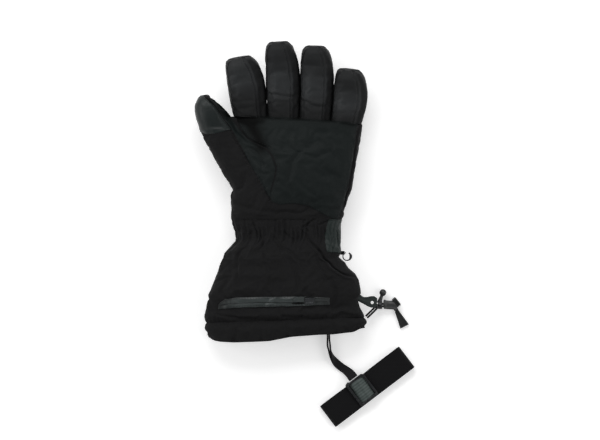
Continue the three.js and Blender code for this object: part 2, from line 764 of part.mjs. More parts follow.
const barrelFrom = lockFrom.clone().add(new THREE.Vector3(lockLength + seamGap, barrelOffset, 0));
const capAxis = new THREE.Vector3(Math.cos(capTurn * degrees), Math.sin(capTurn * degrees), 0);
const capFrom = barrelFrom.clone().addScaledVector(lockAxis, barrelLength * 0.78);
capFrom.add(new THREE.Vector3(0, barrelRadius * 0.13, barrelCapRadius - barrelRadius));
const capRoom = roundBar(barrelCapRadius + seamGap, 3 * barrelRadius, 14, capFrom, capAxis);
const barrelSolid = solidOf(roundBar(barrelRadius, barrelLength, 14, barrelFrom, lockAxis));
piece("drawcord_barrel", geometryFrom(barrelSolid.subtract(solidOf(capRoom)).subtract(bore)), plastic, true);
const capStart = capFrom.clone().addScaledVector(capAxis, seamGap);
piece("drawcord_cap", roundBar(barrelCapRadius, barrelCapLength, 14, capStart, capAxis), plastic, true);

// Pull tab: a flat tapering grip on the drawcord's end
const pullShape = new THREE.Shape();
pullShape.moveTo(0, pullTabNeck / 2 + 1);
pullShape.lineTo(0, -pullTabNeck / 2 - 1);
pullShape.lineTo(pullTabLength * 0.96, -pullTabWidth / 2);
pullShape.lineTo(pullTabLength, -pullTabWidth / 2 + 1);
pullShape.lineTo(pullTabLength, pullTabWidth / 2 - 1);
pullShape.lineTo(pullTabLength * 0.96, pullTabWidth / 2);
const pullTab = piece(
  "pull_tab",
  new THREE.ExtrudeGeometry(pullShape, { depth: pullTabThick, bevelEnabled: false }),
  plastic,
  true,
);
const cordEnd = cordPoints[cordPoints.length - 1];
const pullAxis = new THREE.Vector3(Math.cos(pullTabTurn * degrees), Math.sin(pullTabTurn * degrees), 0);
pullTab.rotation.z = pullTabTurn * degrees;
pullTab.position.copy(cordEnd).addScaledVector(pullAxis, drawcordWidth / 2 + seamGap);
pullTab.position.z = cordEnd.z - pullTabThick / 2;

// Wrist leash: the strap leaves the hem on edge, turns flat and ends at the buckle.
// Its route is a list of offsets from the place where it leaves the hem.
const hemEdge = bodySection(0);
const strapSide = (strapShare * hemWidth) / hemEdge.side.x;
const strapExit = hemEdge.centre.clone().addScaledVector(hemEdge.side, strapSide);
strapExit.y -= 2 * seamGap;
strapExit.z = strapWidth / 2 + seamGap;
const strapRoute = [
  [0, 0, 0],
  [0.1, -6, 0],
  [0.3, -12, 0],
  [1, -18, -0.1],
  [2.6, -24, 0.1],
  [5.4, -29.6, -0.1],
  [9.4, -34.6, -1.6],
  [14.3, -38.8, -3],
  [19.4, -42.2, -1.4],
  [24, -46, 2.8],
  [27.6, -50.6, 5.6],
];
const strapPoints = strapRoute.map(([x, y, z]) => strapExit.clone().add(new THREE.Vector3(x, y, z)));
const strapRoll = (share) => 90 * (1 - ease((share - 0.3) / 0.45));
piece("leash_strap", sweep(strapPoints, flatOutline(strapWidth, strapThick), 24, strapRoll), webbing, true);

// Elastic band: a flattened loop, with the buckle and the strap's sleeve on its upper layer
const bandAxis = new THREE.Vector3(Math.cos(bandTurn * degrees), Math.sin(bandTurn * degrees), 0);
const bandSide = new THREE.Vector3(-bandAxis.y, bandAxis.x, 0);
const strapEnd = strapPoints[strapPoints.length - 1];
const buckleAt = strapEnd.clone().addScaledVector(bandSide, -(buckleSpan / 2 + 3 * seamGap));
const bandHeight = bandOpening + 2 * bandThick;
const buckleBase = seamGap + bandHeight + seamGap;
function loopPath(kind, length, height) {
  const path = new kind();
  const x = length / 2 - height / 2;
  path.moveTo(-x, -height / 2);
  path.absarc(x, 0, height / 2, -Math.PI / 2, Math.PI / 2);
  path.absarc(-x, 0, height / 2, Math.PI / 2, 1.5 * Math.PI);
  return path;
}
const bandShape = loopPath(THREE.Shape, bandLength, bandHeight);
bandShape.holes.push(loopPath(THREE.Path, bandLength - 2 * bandThick, bandOpening));
const bandForm = { depth: bandWidth, bevelEnabled: false, curveSegments: 5 };
const band = piece("leash_band", new THREE.ExtrudeGeometry(bandShape, bandForm), webbing, true);
band.quaternion.setFromRotationMatrix(
  new THREE.Matrix4().makeBasis(bandAxis, new THREE.Vector3(0, 0, 1), bandSide.clone().negate()),
);
const bandCentre = buckleAt.clone().addScaledVector(bandAxis, buckleShare * bandLength);
band.position.copy(bandCentre).addScaledVector(bandSide, bandWidth / 2 - buckleOverhang);
band.position.z = seamGap + bandHeight / 2;

const frame = new THREE.Shape();
const frameX = buckleWidth / 2;
const frameY = buckleSpan / 2;
const frameCorner = buckleBar * 0.8;
frame.moveTo(-frameX + frameCorner, -frameY);
frame.absarc(frameX - frameCorner, -frameY + frameCorner, frameCorner, -Math.PI / 2, 0);
frame.absarc(frameX - frameCorner, frameY - frameCorner, frameCorner, 0, Math.PI / 2);
frame.absarc(-frameX + frameCorner, frameY - frameCorner, frameCorner, Math.PI / 2, Math.PI);
frame.absarc(-frameX + frameCorner, -frameY + frameCorner, frameCorner, Math.PI, 1.5 * Math.PI);
const windowX = frameX - buckleBar;
const windowY = frameY - buckleBar;
const frameWindow = new THREE.Path();
frameWindow.moveTo(-windowX, -windowY);
frameWindow.lineTo(-windowX, windowY);
frameWindow.lineTo(windowX, windowY);
frameWindow.lineTo(windowX, -windowY);
frameWindow.closePath();
frame.holes.push(frameWindow);
const frameForm = { depth: buckleThick, bevelEnabled: false, curveSegments: 3 };
const buckle = piece("leash_buckle", new THREE.ExtrudeGeometry(frame, frameForm), plastic, true);
buckle.rotation.z = bandTurn * degrees;
buckle.position.copy(buckleAt);
buckle.position.z = buckleBase;

// The sleeve is the strap's wide end, domed inside the buckle's window
const sleeveX = windowX - 2 * seamGap;
const sleeveY = windowY - 2 * seamGap;
const sleeveArch = (u, v) => {
  const x = (u - 0.5) * 2 * sleeveX;
  const dome = sleeveDome * (1 - (2 * clamp01(u) - 1) ** 2);
  return new THREE.Vector3(x, (v - 0.5) * 2 * sleeveY, dome);
};
const sleeve = piece("leash_sleeve", panel(sleeveArch, 8, 2, sleeveThick, 0), satin, true);
sleeve.rotation.z = bandTurn * degrees;
sleeve.position.copy(buckleAt);
sleeve.position.z = buckleBase;

// The origin is under the middle of the glove, without the free cords and what is on them
glove.updateMatrixWorld(true);
const reach = new THREE.Box3();
for (const mesh of glove.children) {
  if (!cordPieces.has(mesh)) reach.expandByObject(mesh, true);
}
const middle = reach.getCenter(new THREE.Vector3());
glove.position.set(-middle.x, -middle.y, -reach.min.z);

export default glove;
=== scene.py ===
# %% [markdown]
# # A heated winter glove, dressed in Blender
# The glove lies on its back with the palm up. Its construction is already fixed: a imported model
# holds every sub-part at its real size. This lesson loads that model as a frame, and then sews the
# soft skin, the seams, the zip, the drawcord and the leash over it, one piece at a time.
# Everything is in metres, +X to the little finger, +Y to the fingertips, +Z up out of the palm.

# %% Load the frame and keep its box
import math
from collections import Counter

import bpy
import numpy as np
from mathutils import Matrix, Vector
from mathutils.bvhtree import BVHTree


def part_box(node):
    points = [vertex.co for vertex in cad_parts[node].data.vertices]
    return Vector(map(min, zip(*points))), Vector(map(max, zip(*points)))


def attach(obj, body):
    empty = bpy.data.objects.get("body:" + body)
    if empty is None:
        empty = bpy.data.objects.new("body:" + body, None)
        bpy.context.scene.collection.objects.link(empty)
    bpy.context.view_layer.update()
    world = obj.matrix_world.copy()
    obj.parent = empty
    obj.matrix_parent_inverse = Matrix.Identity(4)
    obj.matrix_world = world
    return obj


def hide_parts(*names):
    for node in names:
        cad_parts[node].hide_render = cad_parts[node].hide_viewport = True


mm = 0.001
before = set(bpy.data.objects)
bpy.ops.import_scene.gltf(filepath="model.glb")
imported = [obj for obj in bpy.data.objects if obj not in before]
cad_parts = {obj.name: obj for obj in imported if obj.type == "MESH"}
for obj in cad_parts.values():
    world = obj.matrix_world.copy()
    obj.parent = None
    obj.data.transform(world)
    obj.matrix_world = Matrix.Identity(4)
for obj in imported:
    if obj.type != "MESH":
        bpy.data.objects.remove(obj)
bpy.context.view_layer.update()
print("nodes in the frame:", len(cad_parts))

# %% [markdown]
# The photograph is 600 by 440 pixels and looks straight down. A pixel is 1.1 mm at the middle of
# the glove's height, which was settled when the glove was measured. `spot` turns a place in the
# picture into a place in the scene, so a seam can be put where the picture shows it.

# %% Places in the photograph
photo_size = (600, 440)
pixel = 1.1 * mm
origin_pixel = (287.23, 190.41)
middle_height = 20 * mm


def spot(px, py):
    """The place in the scene under a pixel of the photograph, in X and Y."""
    return Vector(((px - origin_pixel[0]) * pixel, (origin_pixel[1] - py) * pixel, 0))


def spots(pairs):
    """The same for a list of pixels, as an array of X and Y."""
    return np.array([spot(*pair)[:2] for pair in pairs])


print("picture's centre lies at", tuple(round(v / mm, 1) for v in spot(300, 220)[:2]), "mm")

# %% [markdown]
# ## Camera
# The camera hangs three metres above the glove with a long lens, so that near and far parts keep
# the same scale, as they do in the photograph. The lens follows from the frame's width.

# %% Hang the camera
camera_distance = 3.0
film_width = 36


def hang_camera():
    centre = spot(photo_size[0] / 2, photo_size[1] / 2)
    height = camera_distance + middle_height
    bpy.ops.object.camera_add(location=(centre.x, centre.y, height), rotation=(0, 0, 0))
    camera = bpy.context.object
    camera.data.sensor_width = film_width
    camera.data.lens = film_width * camera_distance / (photo_size[0] * pixel)
    camera.data.clip_end = 20
    bpy.context.scene.camera = camera
    return camera


camera = hang_camera()
print("lens", round(camera.data.lens, 1), "mm")

# %% [markdown]
# ## The body's sizes
# Hem, cuff, wrist and hand are one flattened tube. Its table repeats the frame's own: a place
# along the glove, the section's centre, its width, its highest and lowest point and its tilt.
# Only the place of the whole tube is measured, on the frame's cuff.

# %% The body's table
hem_width = 178 * mm
hem_length = 17 * mm
hem_depth = 40 * mm
hem_tilt = 4.3
cuff_length = 80 * mm
cuff_top_width = 125 * mm
cuff_depth = 45 * mm
wrist_length = 34 * mm
wrist_width = 114.5 * mm
wrist_depth = 37 * mm
wrist_lift = 1.6 * mm
hand_length = 105 * mm
palm_width = 140.6 * mm
palm_depth = 45 * mm
knuckle_depth = 38 * mm
knuckle_tilt = -3.5
hand_shift = 12.5 * mm
squareness = 2.7
flatness = 1.16
seam_gap = 0.3 * mm

cuff_top = hem_length + cuff_length
wrist_top = cuff_top + wrist_length
knuckles = wrist_top + hand_length
cuff_low, cuff_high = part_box("cuff")
glove_shift = np.array([(cuff_low.x + cuff_high.x) / 2, cuff_high.y - cuff_top + seam_gap, 0])

body_rows = np.array(
    [
        [0, 1.5 * mm, hem_width * 0.98, hem_depth * 0.94, 0, hem_tilt],
        [hem_length * 0.6, 0, hem_width, hem_depth, 0, hem_tilt * 0.6],
        [hem_length, 0, hem_width * 0.985, hem_depth * 0.93, 0, hem_tilt * 0.47],
        [hem_length + cuff_length * 0.08, 0, hem_width * 0.995, cuff_depth * 0.93, 0, hem_tilt * 0.4],
        [hem_length + cuff_length * 0.17, -0.5 * mm, hem_width * 0.97, cuff_depth * 0.9, 0, hem_tilt * 0.3],
        [hem_length + cuff_length * 0.3, -1 * mm, hem_width * 0.94, cuff_depth, 0, 0.5],
        [hem_length + cuff_length * 0.62, 0, hem_width * 0.855, cuff_depth, 0, 0],
        [hem_length + cuff_length * 0.84, -4.4 * mm, cuff_top_width * 1.06, cuff_depth * 0.96, 0, 0],
        [cuff_top, -2.5 * mm, cuff_top_width * 0.97, cuff_depth * 0.9, 0, 0],
        [cuff_top + wrist_length * 0.3, 1.5 * mm, wrist_width, wrist_depth, wrist_lift, 0],
        [cuff_top + wrist_length * 0.65, 1.5 * mm, wrist_width * 1.01, wrist_depth, wrist_lift, 0],
        [wrist_top, 1 * mm, wrist_width * 1.05, wrist_depth * 1.06, 0, 0],
        [wrist_top + hand_length * 0.25, hand_shift * 0.42, palm_width * 0.935, palm_depth, 0, 0],
        [wrist_top + hand_length * 0.6, hand_shift * 0.74, palm_width * 0.97, palm_depth, 0, 0],
        [knuckles, hand_shift, palm_width, knuckle_depth, 0, knuckle_tilt],
    ]
)


def read_table(rows, at):
    """Rows of a table at any places between its own rows, by a curve through them."""
    at = np.asarray(at, float)
    last = len(rows) - 1
    k = np.clip(np.searchsorted(rows[:, 0], at, side="right") - 1, 0, last - 1)
    share = np.clip((at - rows[k, 0]) / (rows[k + 1, 0] - rows[k, 0]), 0, 1)[..., None]
    before, start = rows[np.maximum(k - 1, 0)], rows[k]
    end, after = rows[k + 1], rows[np.minimum(k + 2, last)]
    pull = (1 - share) * (2 * start - before - end) + share * (2 * end - start - after)
    return start + (end - start) * share + 0.5 * share * (1 - share) * pull


def rounded(turn, power):
    """Across and up, from -1 to 1, at a turn round a rounded square."""
    across, up = np.cos(turn), np.sin(turn)
    return np.sign(across) * np.abs(across) ** power, np.sign(up) * np.abs(up) ** power


def body_point(turn, y, inset=0.0):
    """Points of the body tube: turn 0 is the little finger's side, a quarter turn the palm."""
    row = read_table(body_rows, y)
    low = np.maximum(row[..., 4], 0)
    middle = (row[..., 3] + low) / 2
    half, height = row[..., 2] / 2, middle - low
    across, up = rounded(turn, 2 / squareness)
    sideways, upward = across * (half - inset), up * (height - inset)
    upward = np.maximum(np.where(up < 0, upward * flatness, upward), inset - height)
    tilt = np.radians(row[..., 5])
    x = row[..., 1] + sideways * np.cos(tilt)
    return np.stack([x, y + sideways * np.sin(tilt), middle + upward], axis=-1) + glove_shift


print("body from the hem to the knuckles:", round(knuckles / mm, 1), "mm")

# %% [markdown]
# ## Helpers for cloth
# A cloth panel starts as Blender's grid primitive, which brings its own UV map. Its vertices are
# then laid on a surface that a function of u and v gives, as a tailor lays cloth on a form. A tube
# is a panel whose two sides meet: their doubles are merged and its ends may be closed.

# %% Select nothing, add a grid, lay it on a surface
def deselect():
    """Leaves object mode and clears the selection, because an operator acts on all of it."""
    if bpy.context.object and bpy.context.object.mode != "OBJECT":
        bpy.ops.object.mode_set(mode="OBJECT")
    bpy.ops.object.select_all(action="DESELECT")


def make_active(piece):
    deselect()
    piece.select_set(True)
    bpy.context.view_layer.objects.active = piece
    return piece


def points_of(piece):
    flat = np.empty(len(piece.data.vertices) * 3)
    piece.data.vertices.foreach_get("co", flat)
    return flat.reshape(-1, 3)


def move_points(piece, points):
    piece.data.vertices.foreach_set("co", np.ascontiguousarray(points, float).ravel())
    piece.data.update()


def normals_of(piece):
    flat = np.empty(len(piece.data.vertices) * 3)
    piece.data.vertices.foreach_get("normal", flat)
    return flat.reshape(-1, 3)


def edit_all(piece, operator, **settings):
    """Runs one of edit mode's operators on the whole mesh."""
    make_active(piece)
    bpy.ops.object.mode_set(mode="EDIT")
    bpy.ops.mesh.select_all(action="SELECT")
    operator(**settings)
    bpy.ops.object.mode_set(mode="OBJECT")


def rims_of(piece):
    """The vertices round each open end of a mesh, one set for each end."""
    uses = Counter(key for face in piece.data.polygons for key in face.edge_keys)
    rims = []
    for key in (key for key, count in uses.items() if count == 1):
        touching = [rim for rim in rims if rim & set(key)]
        rims = [rim for rim in rims if rim not in touching] + [set(key).union(*touching)]
    return rims


def close_rims(piece):
    """Closes each open end by itself, with a fan of triangles."""
    make_active(piece)
    for rim in rims_of(piece):
        bpy.ops.object.mode_set(mode="EDIT")
        bpy.ops.mesh.select_mode(type="VERT")
        bpy.ops.mesh.select_all(action="DESELECT")
        bpy.ops.object.mode_set(mode="OBJECT")
        for index in rim:
            piece.data.vertices[index].select = True
        bpy.ops.object.mode_set(mode="EDIT")
        bpy.ops.mesh.edge_face_add()
        bpy.ops.mesh.poke()
        bpy.ops.object.mode_set(mode="OBJECT")


def cloth(name, columns, rows, surface, tube=False, close_ends=False, size=(1, 1)):
    """A grid laid on surface(u, v). size is the cloth's width and length, for its UV map."""
    deselect()
    bpy.ops.mesh.primitive_grid_add(x_subdivisions=columns, y_subdivisions=rows, size=1)
    piece = bpy.context.object
    piece.name = name
    flat = points_of(piece)
    move_points(piece, surface(flat[:, 0] + 0.5, flat[:, 1] + 0.5))
    for loop in piece.data.uv_layers[0].data:
        loop.uv = (loop.uv[0] * size[0], loop.uv[1] * size[1])
    if tube:
        edit_all(piece, bpy.ops.mesh.remove_doubles, threshold=1e-6)
    if close_ends:
        close_rims(piece)
    edit_all(piece, bpy.ops.mesh.normals_make_consistent, inside=False)
    bpy.ops.object.shade_smooth()
    return piece


def apply_modifier(piece, kind, **settings):
    """Adds a modifier, sets it and applies it."""
    make_active(piece)
    modifier = piece.modifiers.new(kind.lower(), kind)
    for key, value in settings.items():
        setattr(modifier, key, value)
    bpy.ops.object.modifier_apply(modifier=modifier.name)
    return piece


def round_edges(piece, width, segments):
    """Bevels the sharp edges, and shades all but what stays sharp smooth."""
    sharp, crisp = math.radians(35), math.radians(50)
    bevel = {"width": width, "segments": segments, "limit_method": "ANGLE", "angle_limit": sharp}
    apply_modifier(piece, "BEVEL", **bevel)
    make_active(piece)
    bpy.ops.object.shade_smooth_by_angle(angle=crisp)
    return piece


def settle_object(piece):
    """Puts the piece's place into its mesh, so that its object sits at the origin."""
    make_active(piece)
    bpy.ops.object.transform_apply(location=True, rotation=True, scale=True)
    return piece


def ease(value):
    """A soft step from 0 to 1."""
    value = np.clip(value, 0, 1)
    return value * value * (3 - 2 * value)


def bell(distance, width):
    """1 at no distance, and softly less over a width."""
    return np.exp(-((distance / width) ** 2))


# %% [markdown]
# ## Finishes
# Shader maths reads best as arithmetic. `Wire` wraps one output of a node: adding or multiplying
# wires adds Math nodes. `Finish` holds one material and one method that adds any other node.

# %% Wires and finishes
class Wire:
    """One output of a node. Arithmetic on it adds Math nodes."""

    def __init__(self, finish, socket):
        self.finish = finish
        self.socket = socket

    def math(self, operation, *values):
        return self.finish.node("ShaderNodeMath", {"operation": operation}, dict(enumerate(values)))

    def __add__(self, other):
        return self.math("ADD", self, other)

    def __radd__(self, other):
        return self.math("ADD", other, self)

    def __rsub__(self, other):
        return self.math("SUBTRACT", other, self)

    def __mul__(self, other):
        return self.math("MULTIPLY", self, other)

    def __rmul__(self, other):
        return self.math("MULTIPLY", other, self)


class Finish:
    """A material with its shader, and one method that adds a node."""

    def __init__(self, name, **uniform):
        self.material = bpy.data.materials.new(name)
        self.material.use_nodes = True
        self.tree = self.material.node_tree
        self.shader = self.tree.nodes["Principled BSDF"]
        for socket, value in uniform.items():
            self.shader.inputs[socket.replace("_", " ")].default_value = value

    def node(self, kind, settings=None, values=None, output=0):
        node = self.tree.nodes.new(kind)
        for key, value in (settings or {}).items():
            if key == "stops":
                self.set_stops(node.color_ramp, value)
            else:
                setattr(node, key, value)
        for key, value in (values or {}).items():
            if isinstance(value, Wire):
                self.tree.links.new(value.socket, node.inputs[key])
            else:
                node.inputs[key].default_value = value
        return Wire(self, node.outputs[output])

    @staticmethod
    def set_stops(ramp, stops):
        while len(ramp.elements) < len(stops):
            ramp.elements.new(0.5)
        for element, (place, shade) in zip(ramp.elements, stops):
            element.position = place
            element.color = (shade, shade, shade, 1)

    def place(self, output="Object"):
        return self.node("ShaderNodeTexCoord", output=output)

    def noise(self, scale, where, detail=3.0, rough=0.55):
        values = {"Vector": where, "Scale": scale, "Detail": detail, "Roughness": rough}
        return self.node("ShaderNodeTexNoise", {}, values, "Fac")

    def cells(self, scale, where):
        return self.node("ShaderNodeTexVoronoi", {}, {"Vector": where, "Scale": scale}, "Distance")

    def bands(self, scale, where, direction):
        settings = {"bands_direction": direction, "wave_profile": "SIN"}
        return self.node("ShaderNodeTexWave", settings, {"Vector": where, "Scale": scale}, "Fac")

    def tone(self):
        """The painted light and shade that a piece's points carry, from 0 in painted shade to 1 fully lit.
        """
        return self.node("ShaderNodeAttribute", {"attribute_name": "tone"}, {}, "Fac")

    def ramp(self, value, *stops):
        return self.node("ShaderNodeValToRGB", {"stops": stops}, {0: value})

    def between(self, share, first, second):
        """A colour between two, by a share from 0 to 1."""
        return self.node("ShaderNodeMix", {"data_type": "RGBA"}, {0: share, 6: first, 7: second}, 2)

    def feed(self, socket, wire):
        self.tree.links.new(wire.socket, self.shader.inputs[socket])

    def relief(self, height, depth):
        self.feed("Normal", self.node("ShaderNodeBump", {}, {"Height": height, "Distance": depth}))


def colour(red, green, blue):
    return (red, green, blue, 1)


# %% [markdown]
# Every finish is nearly black, so what tells them apart is how they take the light. The softshell
# is a tight woven face that scatters light, the leathers have a fine grain with a satin sheen, and
# the coated cloth, the webbing and the moulded pieces each answer in their own way.

# %% Cloth and leather finishes
def softshell_finish():
    f = Finish("softshell", Specular_IOR_Level=0.12, Sheen_Weight=0.015, Sheen_Roughness=0.5)
    where = f.place()
    weave = f.noise(1500, where, 1.0) + 0.6 * f.cells(1300, where)
    cloud = f.noise(28, where, 3.0)
    f.feed("Base Color", f.between(cloud, colour(0.0072, 0.0072, 0.0075), colour(0.0108, 0.0108, 0.0112)))
    f.feed("Roughness", 0.78 + 0.16 * f.noise(420, where))
    f.relief(weave + 1.5 * f.noise(190, where, 2.0), 0.12 * mm)
    return f.material


def leather_finish(name, dark, light, shine, gloss, grain=900, painted_shade=None):
    """Leather; given a painted shade colour, it darkens to that colour and grows rougher where the piece's
    painted light falls to 0.
    """
    f = Finish(name, Specular_IOR_Level=gloss)
    where = f.place()
    cells = f.cells(grain, where)
    wrinkle = f.noise(120, where, 4.0, 0.6)
    patches = f.noise(36, where, 4.0)
    share = f.ramp(patches * 0.75 + wrinkle * 0.35, (0.3, 0.0), (0.75, 1.0))
    base = f.between(share, colour(*dark), colour(*light))
    rough = shine + 0.16 * patches + 0.08 * cells
    if painted_shade:
        # Painted shade: the base colour darkens to the painted shade colour, and the roughness rises, where
        # the piece's painted light is low.
        tone = f.tone()
        base = f.between(tone, colour(*painted_shade), base)
        rough = rough + 0.3 * (1 - tone)
    f.feed("Base Color", base)
    f.feed("Roughness", rough)
    f.relief(cells * 0.8 + wrinkle + 0.5 * f.noise(2600, where, 1.0), 0.12 * mm)
    return f.material


def coated_finish():
    f = Finish("coated cloth", Specular_IOR_Level=0.2)
    where = f.place()
    cloud = f.noise(60, where)
    f.feed("Base Color", f.between(cloud, colour(0.0082, 0.0135, 0.0125), colour(0.015, 0.0215, 0.02)))
    f.feed("Roughness", 0.4 + 0.12 * f.noise(260, where))
    f.relief(f.noise(900, where, 2.0) + f.cells(1100, where), 0.06 * mm)
    return f.material


def fleece_finish():
    f = Finish("fleece lining", Specular_IOR_Level=0.1, Sheen_Weight=0.2)
    where = f.place()
    tufts = f.cells(420, where) + f.noise(900, where)
    dark, light = colour(0.01, 0.01, 0.011), colour(0.03, 0.03, 0.032)
    f.feed("Base Color", f.between(f.noise(160, where), dark, light))
    f.feed("Roughness", 0.88 + 0.1 * f.noise(300, where))
    f.relief(tufts, 0.5 * mm)
    return f.material


softshell = softshell_finish()
palm_dark, palm_light = (0.0044, 0.0068, 0.0068), (0.0074, 0.0102, 0.01)
# The palm's darkest colour is painted shade, for the hollow by the thumb and along the finger roots.
palm_painted_shade = (0.0014, 0.0016, 0.0015)
palm_leather = leather_finish("palm leather", palm_dark, palm_light, 0.5, 0.14, painted_shade=palm_painted_shade)
# The finger strips' two colours are painted light, the lit leather of a strip's middle, and vary between
# them with the leather's own grain; their darkest colour is painted shade for the finger's base, sides and
# back.
strip_lit_dark, strip_lit_light = (0.02, 0.0218, 0.0232), (0.033, 0.0358, 0.0378)
strip_painted_shade = (0.0022, 0.0024, 0.0026)
finger_leather = leather_finish("finger leather", strip_lit_dark, strip_lit_light, 0.34, 0.22, painted_shade=strip_painted_shade)
thumb_leather = leather_finish("thumb leather", (0.0042, 0.0068, 0.0068), (0.0095, 0.0142, 0.0138), 0.3, 0.3)
coated = coated_finish()
fleece = fleece_finish()
print("cloth finishes:", softshell.name, palm_leather.name, finger_leather.name, coated.name, fleece.name)

# %% [markdown]
# Webbing and elastic are woven across their width, so their pattern follows the piece's own UV
# map, which `cloth` leaves in metres. Moulded plastic has a faint orange-peel and handling marks.

# %% Webbing, thread, plastic and metal finishes
def webbing_finish(name, dark, light, rib, shine=0.8):
    f = Finish(name, Specular_IOR_Level=0.2, Sheen_Weight=0.04)
    where = f.place("UV")
    ribs = f.bands(0.16 / rib, where, "Y")
    warp = f.bands(0.16 / (rib * 1.3), where, "X")
    fuzz = f.noise(700, f.place())
    f.feed("Base Color", f.between(ribs * 0.6 + fuzz * 0.4, colour(*dark), colour(*light)))
    f.feed("Roughness", shine + 0.12 * fuzz)
    f.relief(ribs + warp * 0.7 + fuzz * 0.5, 0.22 * mm)
    return f.material


def plastic_finish(name, shade, shine, gloss=0.5):
    f = Finish(name, Specular_IOR_Level=gloss)
    where = f.place()
    peel = f.noise(700, where, 2.0)
    marks = f.ramp(f.noise(150, where, 6.0, 0.7), (0.45, 0.0), (0.75, 1.0))
    dark = colour(*shade)
    light = colour(*[value * 1.6 for value in shade])
    f.feed("Base Color", f.between(marks, dark, light))
    f.feed("Roughness", shine + 0.14 * marks)
    f.relief(peel, 0.03 * mm)
    return f.material


def metal_finish():
    f = Finish("blackened metal", Metallic=0.85)
    where = f.place()
    marks = f.noise(340, where, 5.0, 0.65)
    f.feed("Base Color", f.between(marks, colour(0.022, 0.024, 0.026), colour(0.085, 0.09, 0.094)))
    f.feed("Roughness", 0.26 + 0.2 * marks)
    f.relief(marks, 0.02 * mm)
    return f.material


strap_webbing = webbing_finish("strap webbing", (0.0045, 0.0045, 0.005), (0.0115, 0.011, 0.0125), 1.1 * mm)
elastic = webbing_finish("elastic webbing", (0.0012, 0.0012, 0.0016), (0.0042, 0.0042, 0.005), 0.9 * mm)
braid = webbing_finish("braided cord", (0.004, 0.004, 0.0045), (0.015, 0.015, 0.016), 0.8 * mm)
satin = webbing_finish("satin strap", (0.04, 0.052, 0.049), (0.085, 0.105, 0.1), 1.6 * mm, 0.34)
thread = webbing_finish("thread", (0.006, 0.006, 0.0065), (0.02, 0.02, 0.021), 0.4 * mm, 0.6)
plastic = plastic_finish("moulded plastic", (0.0085, 0.0092, 0.0105), 0.26)
grey_plastic = plastic_finish("grey plastic", (0.03, 0.031, 0.032), 0.36, 0.45)
matt_plastic = plastic_finish("matt plastic", (0.012, 0.0125, 0.013), 0.5, 0.25)
metal = metal_finish()


def dress(piece, material):
    piece.data.materials.clear()
    piece.data.materials.append(material)
    return piece


def join_glove(piece, material, slot, *nodes):
    """Gives a piece its finish, lets it ride on the glove and says which nodes it stands for."""
    dress(piece, material)
    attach(piece, "root")
    if nodes:
        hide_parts(*nodes)
    return piece


print("webbing and moulded finishes are ready")

# %% [markdown]
# ## Cords first
# A cord is a thing of fixed length, so its route is settled before anything is dressed. The
# helper reads a smooth curve through a few chosen points, and sweeps a section along it with an
# even step, turning the section where the strap twists.

# %% A smooth route and a swept section
def travelled(places):
    """How far each place lies along a line of places."""
    return np.concatenate([[0], np.cumsum(np.linalg.norm(np.diff(places, axis=0), axis=1))])


def read_line(places, marks, at):
    """Places on a line at any marks between its own."""
    return np.stack([np.interp(at, marks, column) for column in np.array(places).T], axis=1)


def smooth_route(points, count):
    """Evenly spaced places on a smooth curve through the points."""
    points = np.array(points, float)
    ends = [2 * points[0] - points[1], *points, 2 * points[-1] - points[-2]]
    fine = []
    for a, b, c, d in zip(ends, ends[1:], ends[2:], ends[3:]):
        for t in np.linspace(0, 1, 24, endpoint=False):
            drift = (c - a) * t + (2 * a - 5 * b + 4 * c - d) * t**2 + (3 * b - a - 3 * c + d) * t**3
            fine.append(b + 0.5 * drift)
    fine.append(points[-1])
    marks = travelled(fine)
    return read_line(fine, marks, np.linspace(0, marks[-1], count))


def route_length(route):
    return float(travelled(route)[-1])


def frames_along(route, roll):
    """For each place on the route, the directions across and above the section."""
    ahead = np.gradient(route, axis=0)
    ahead /= np.linalg.norm(ahead, axis=1, keepdims=True)
    side = np.cross(ahead, [0, 0, 1])
    side /= np.linalg.norm(side, axis=1, keepdims=True)
    above = np.cross(side, ahead)
    turn = np.radians(roll(np.linspace(0, 1, len(route))))[:, None]
    return side * np.cos(turn) + above * np.sin(turn), above * np.cos(turn) - side * np.sin(turn)


def sweep(name, route, outline, size):
    """Sweeps outline(u), points across and above for u from 0 to 1, along the route."""
    side, above = frames_along(route, lambda share: 0 * share)
    rows = len(route) - 1

    def surface(u, v):
        k = np.round(v * rows).astype(int)
        flat = outline(u)
        return route[k] + side[k] * flat[:, :1] + above[k] * flat[:, 1:]

    return cloth(name, 24, rows, surface, tube=True, close_ends=True, size=size)


def round_outline(width):
    def outline(u):
        turn = 2 * np.pi * u
        return np.stack([np.cos(turn), np.sin(turn)], axis=1) * width / 2

    return outline


def flat_outline(width, thick, power):
    def outline(u):
        across, up = rounded(2 * np.pi * u, power)
        return np.stack([across * width / 2, up * thick / 2], axis=1)

    return outline


print("sweeps are ready")

# %% [markdown]
# The drawcord's two strands leave the cuff's side, run through the lock and its barrel, and end
# in the pull tab. Their offsets from the exit are the same few points as in the part's source.

# %% Lay the drawcord
drawcord_width = 2.2 * mm
drawcord_spacing = 2.6 * mm
cord_exit_up = 3 * mm
cord_exit_height = 14 * mm
exit_row = read_table(body_rows, hem_length + cord_exit_up)
cord_exit = glove_shift + np.array(
    [
        exit_row[1] + exit_row[2] / 2 + 2 * seam_gap,
        hem_length + cord_exit_up,
        cord_exit_height,
    ]
)
drawcord_route = [
    [0, 0, 0],
    [2.6, 2.3, -1.2],
    [6.2, 5.6, -4.2],
    [9.6, 8.9, -7],
    [12.6, 11.4, -8.2],
    [16.4, 12.6, -8.4],
    [20.5, 12.7, -8.4],
    [24.8, 12.6, -8.5],
    [28.2, 12, -9.2],
    [30.4, 10.9, -10.2],
    [31.9, 9.3, -11.3],
    [32.9, 7.4, -12.2],
]
drawcord_points = cord_exit + np.array(drawcord_route) * mm


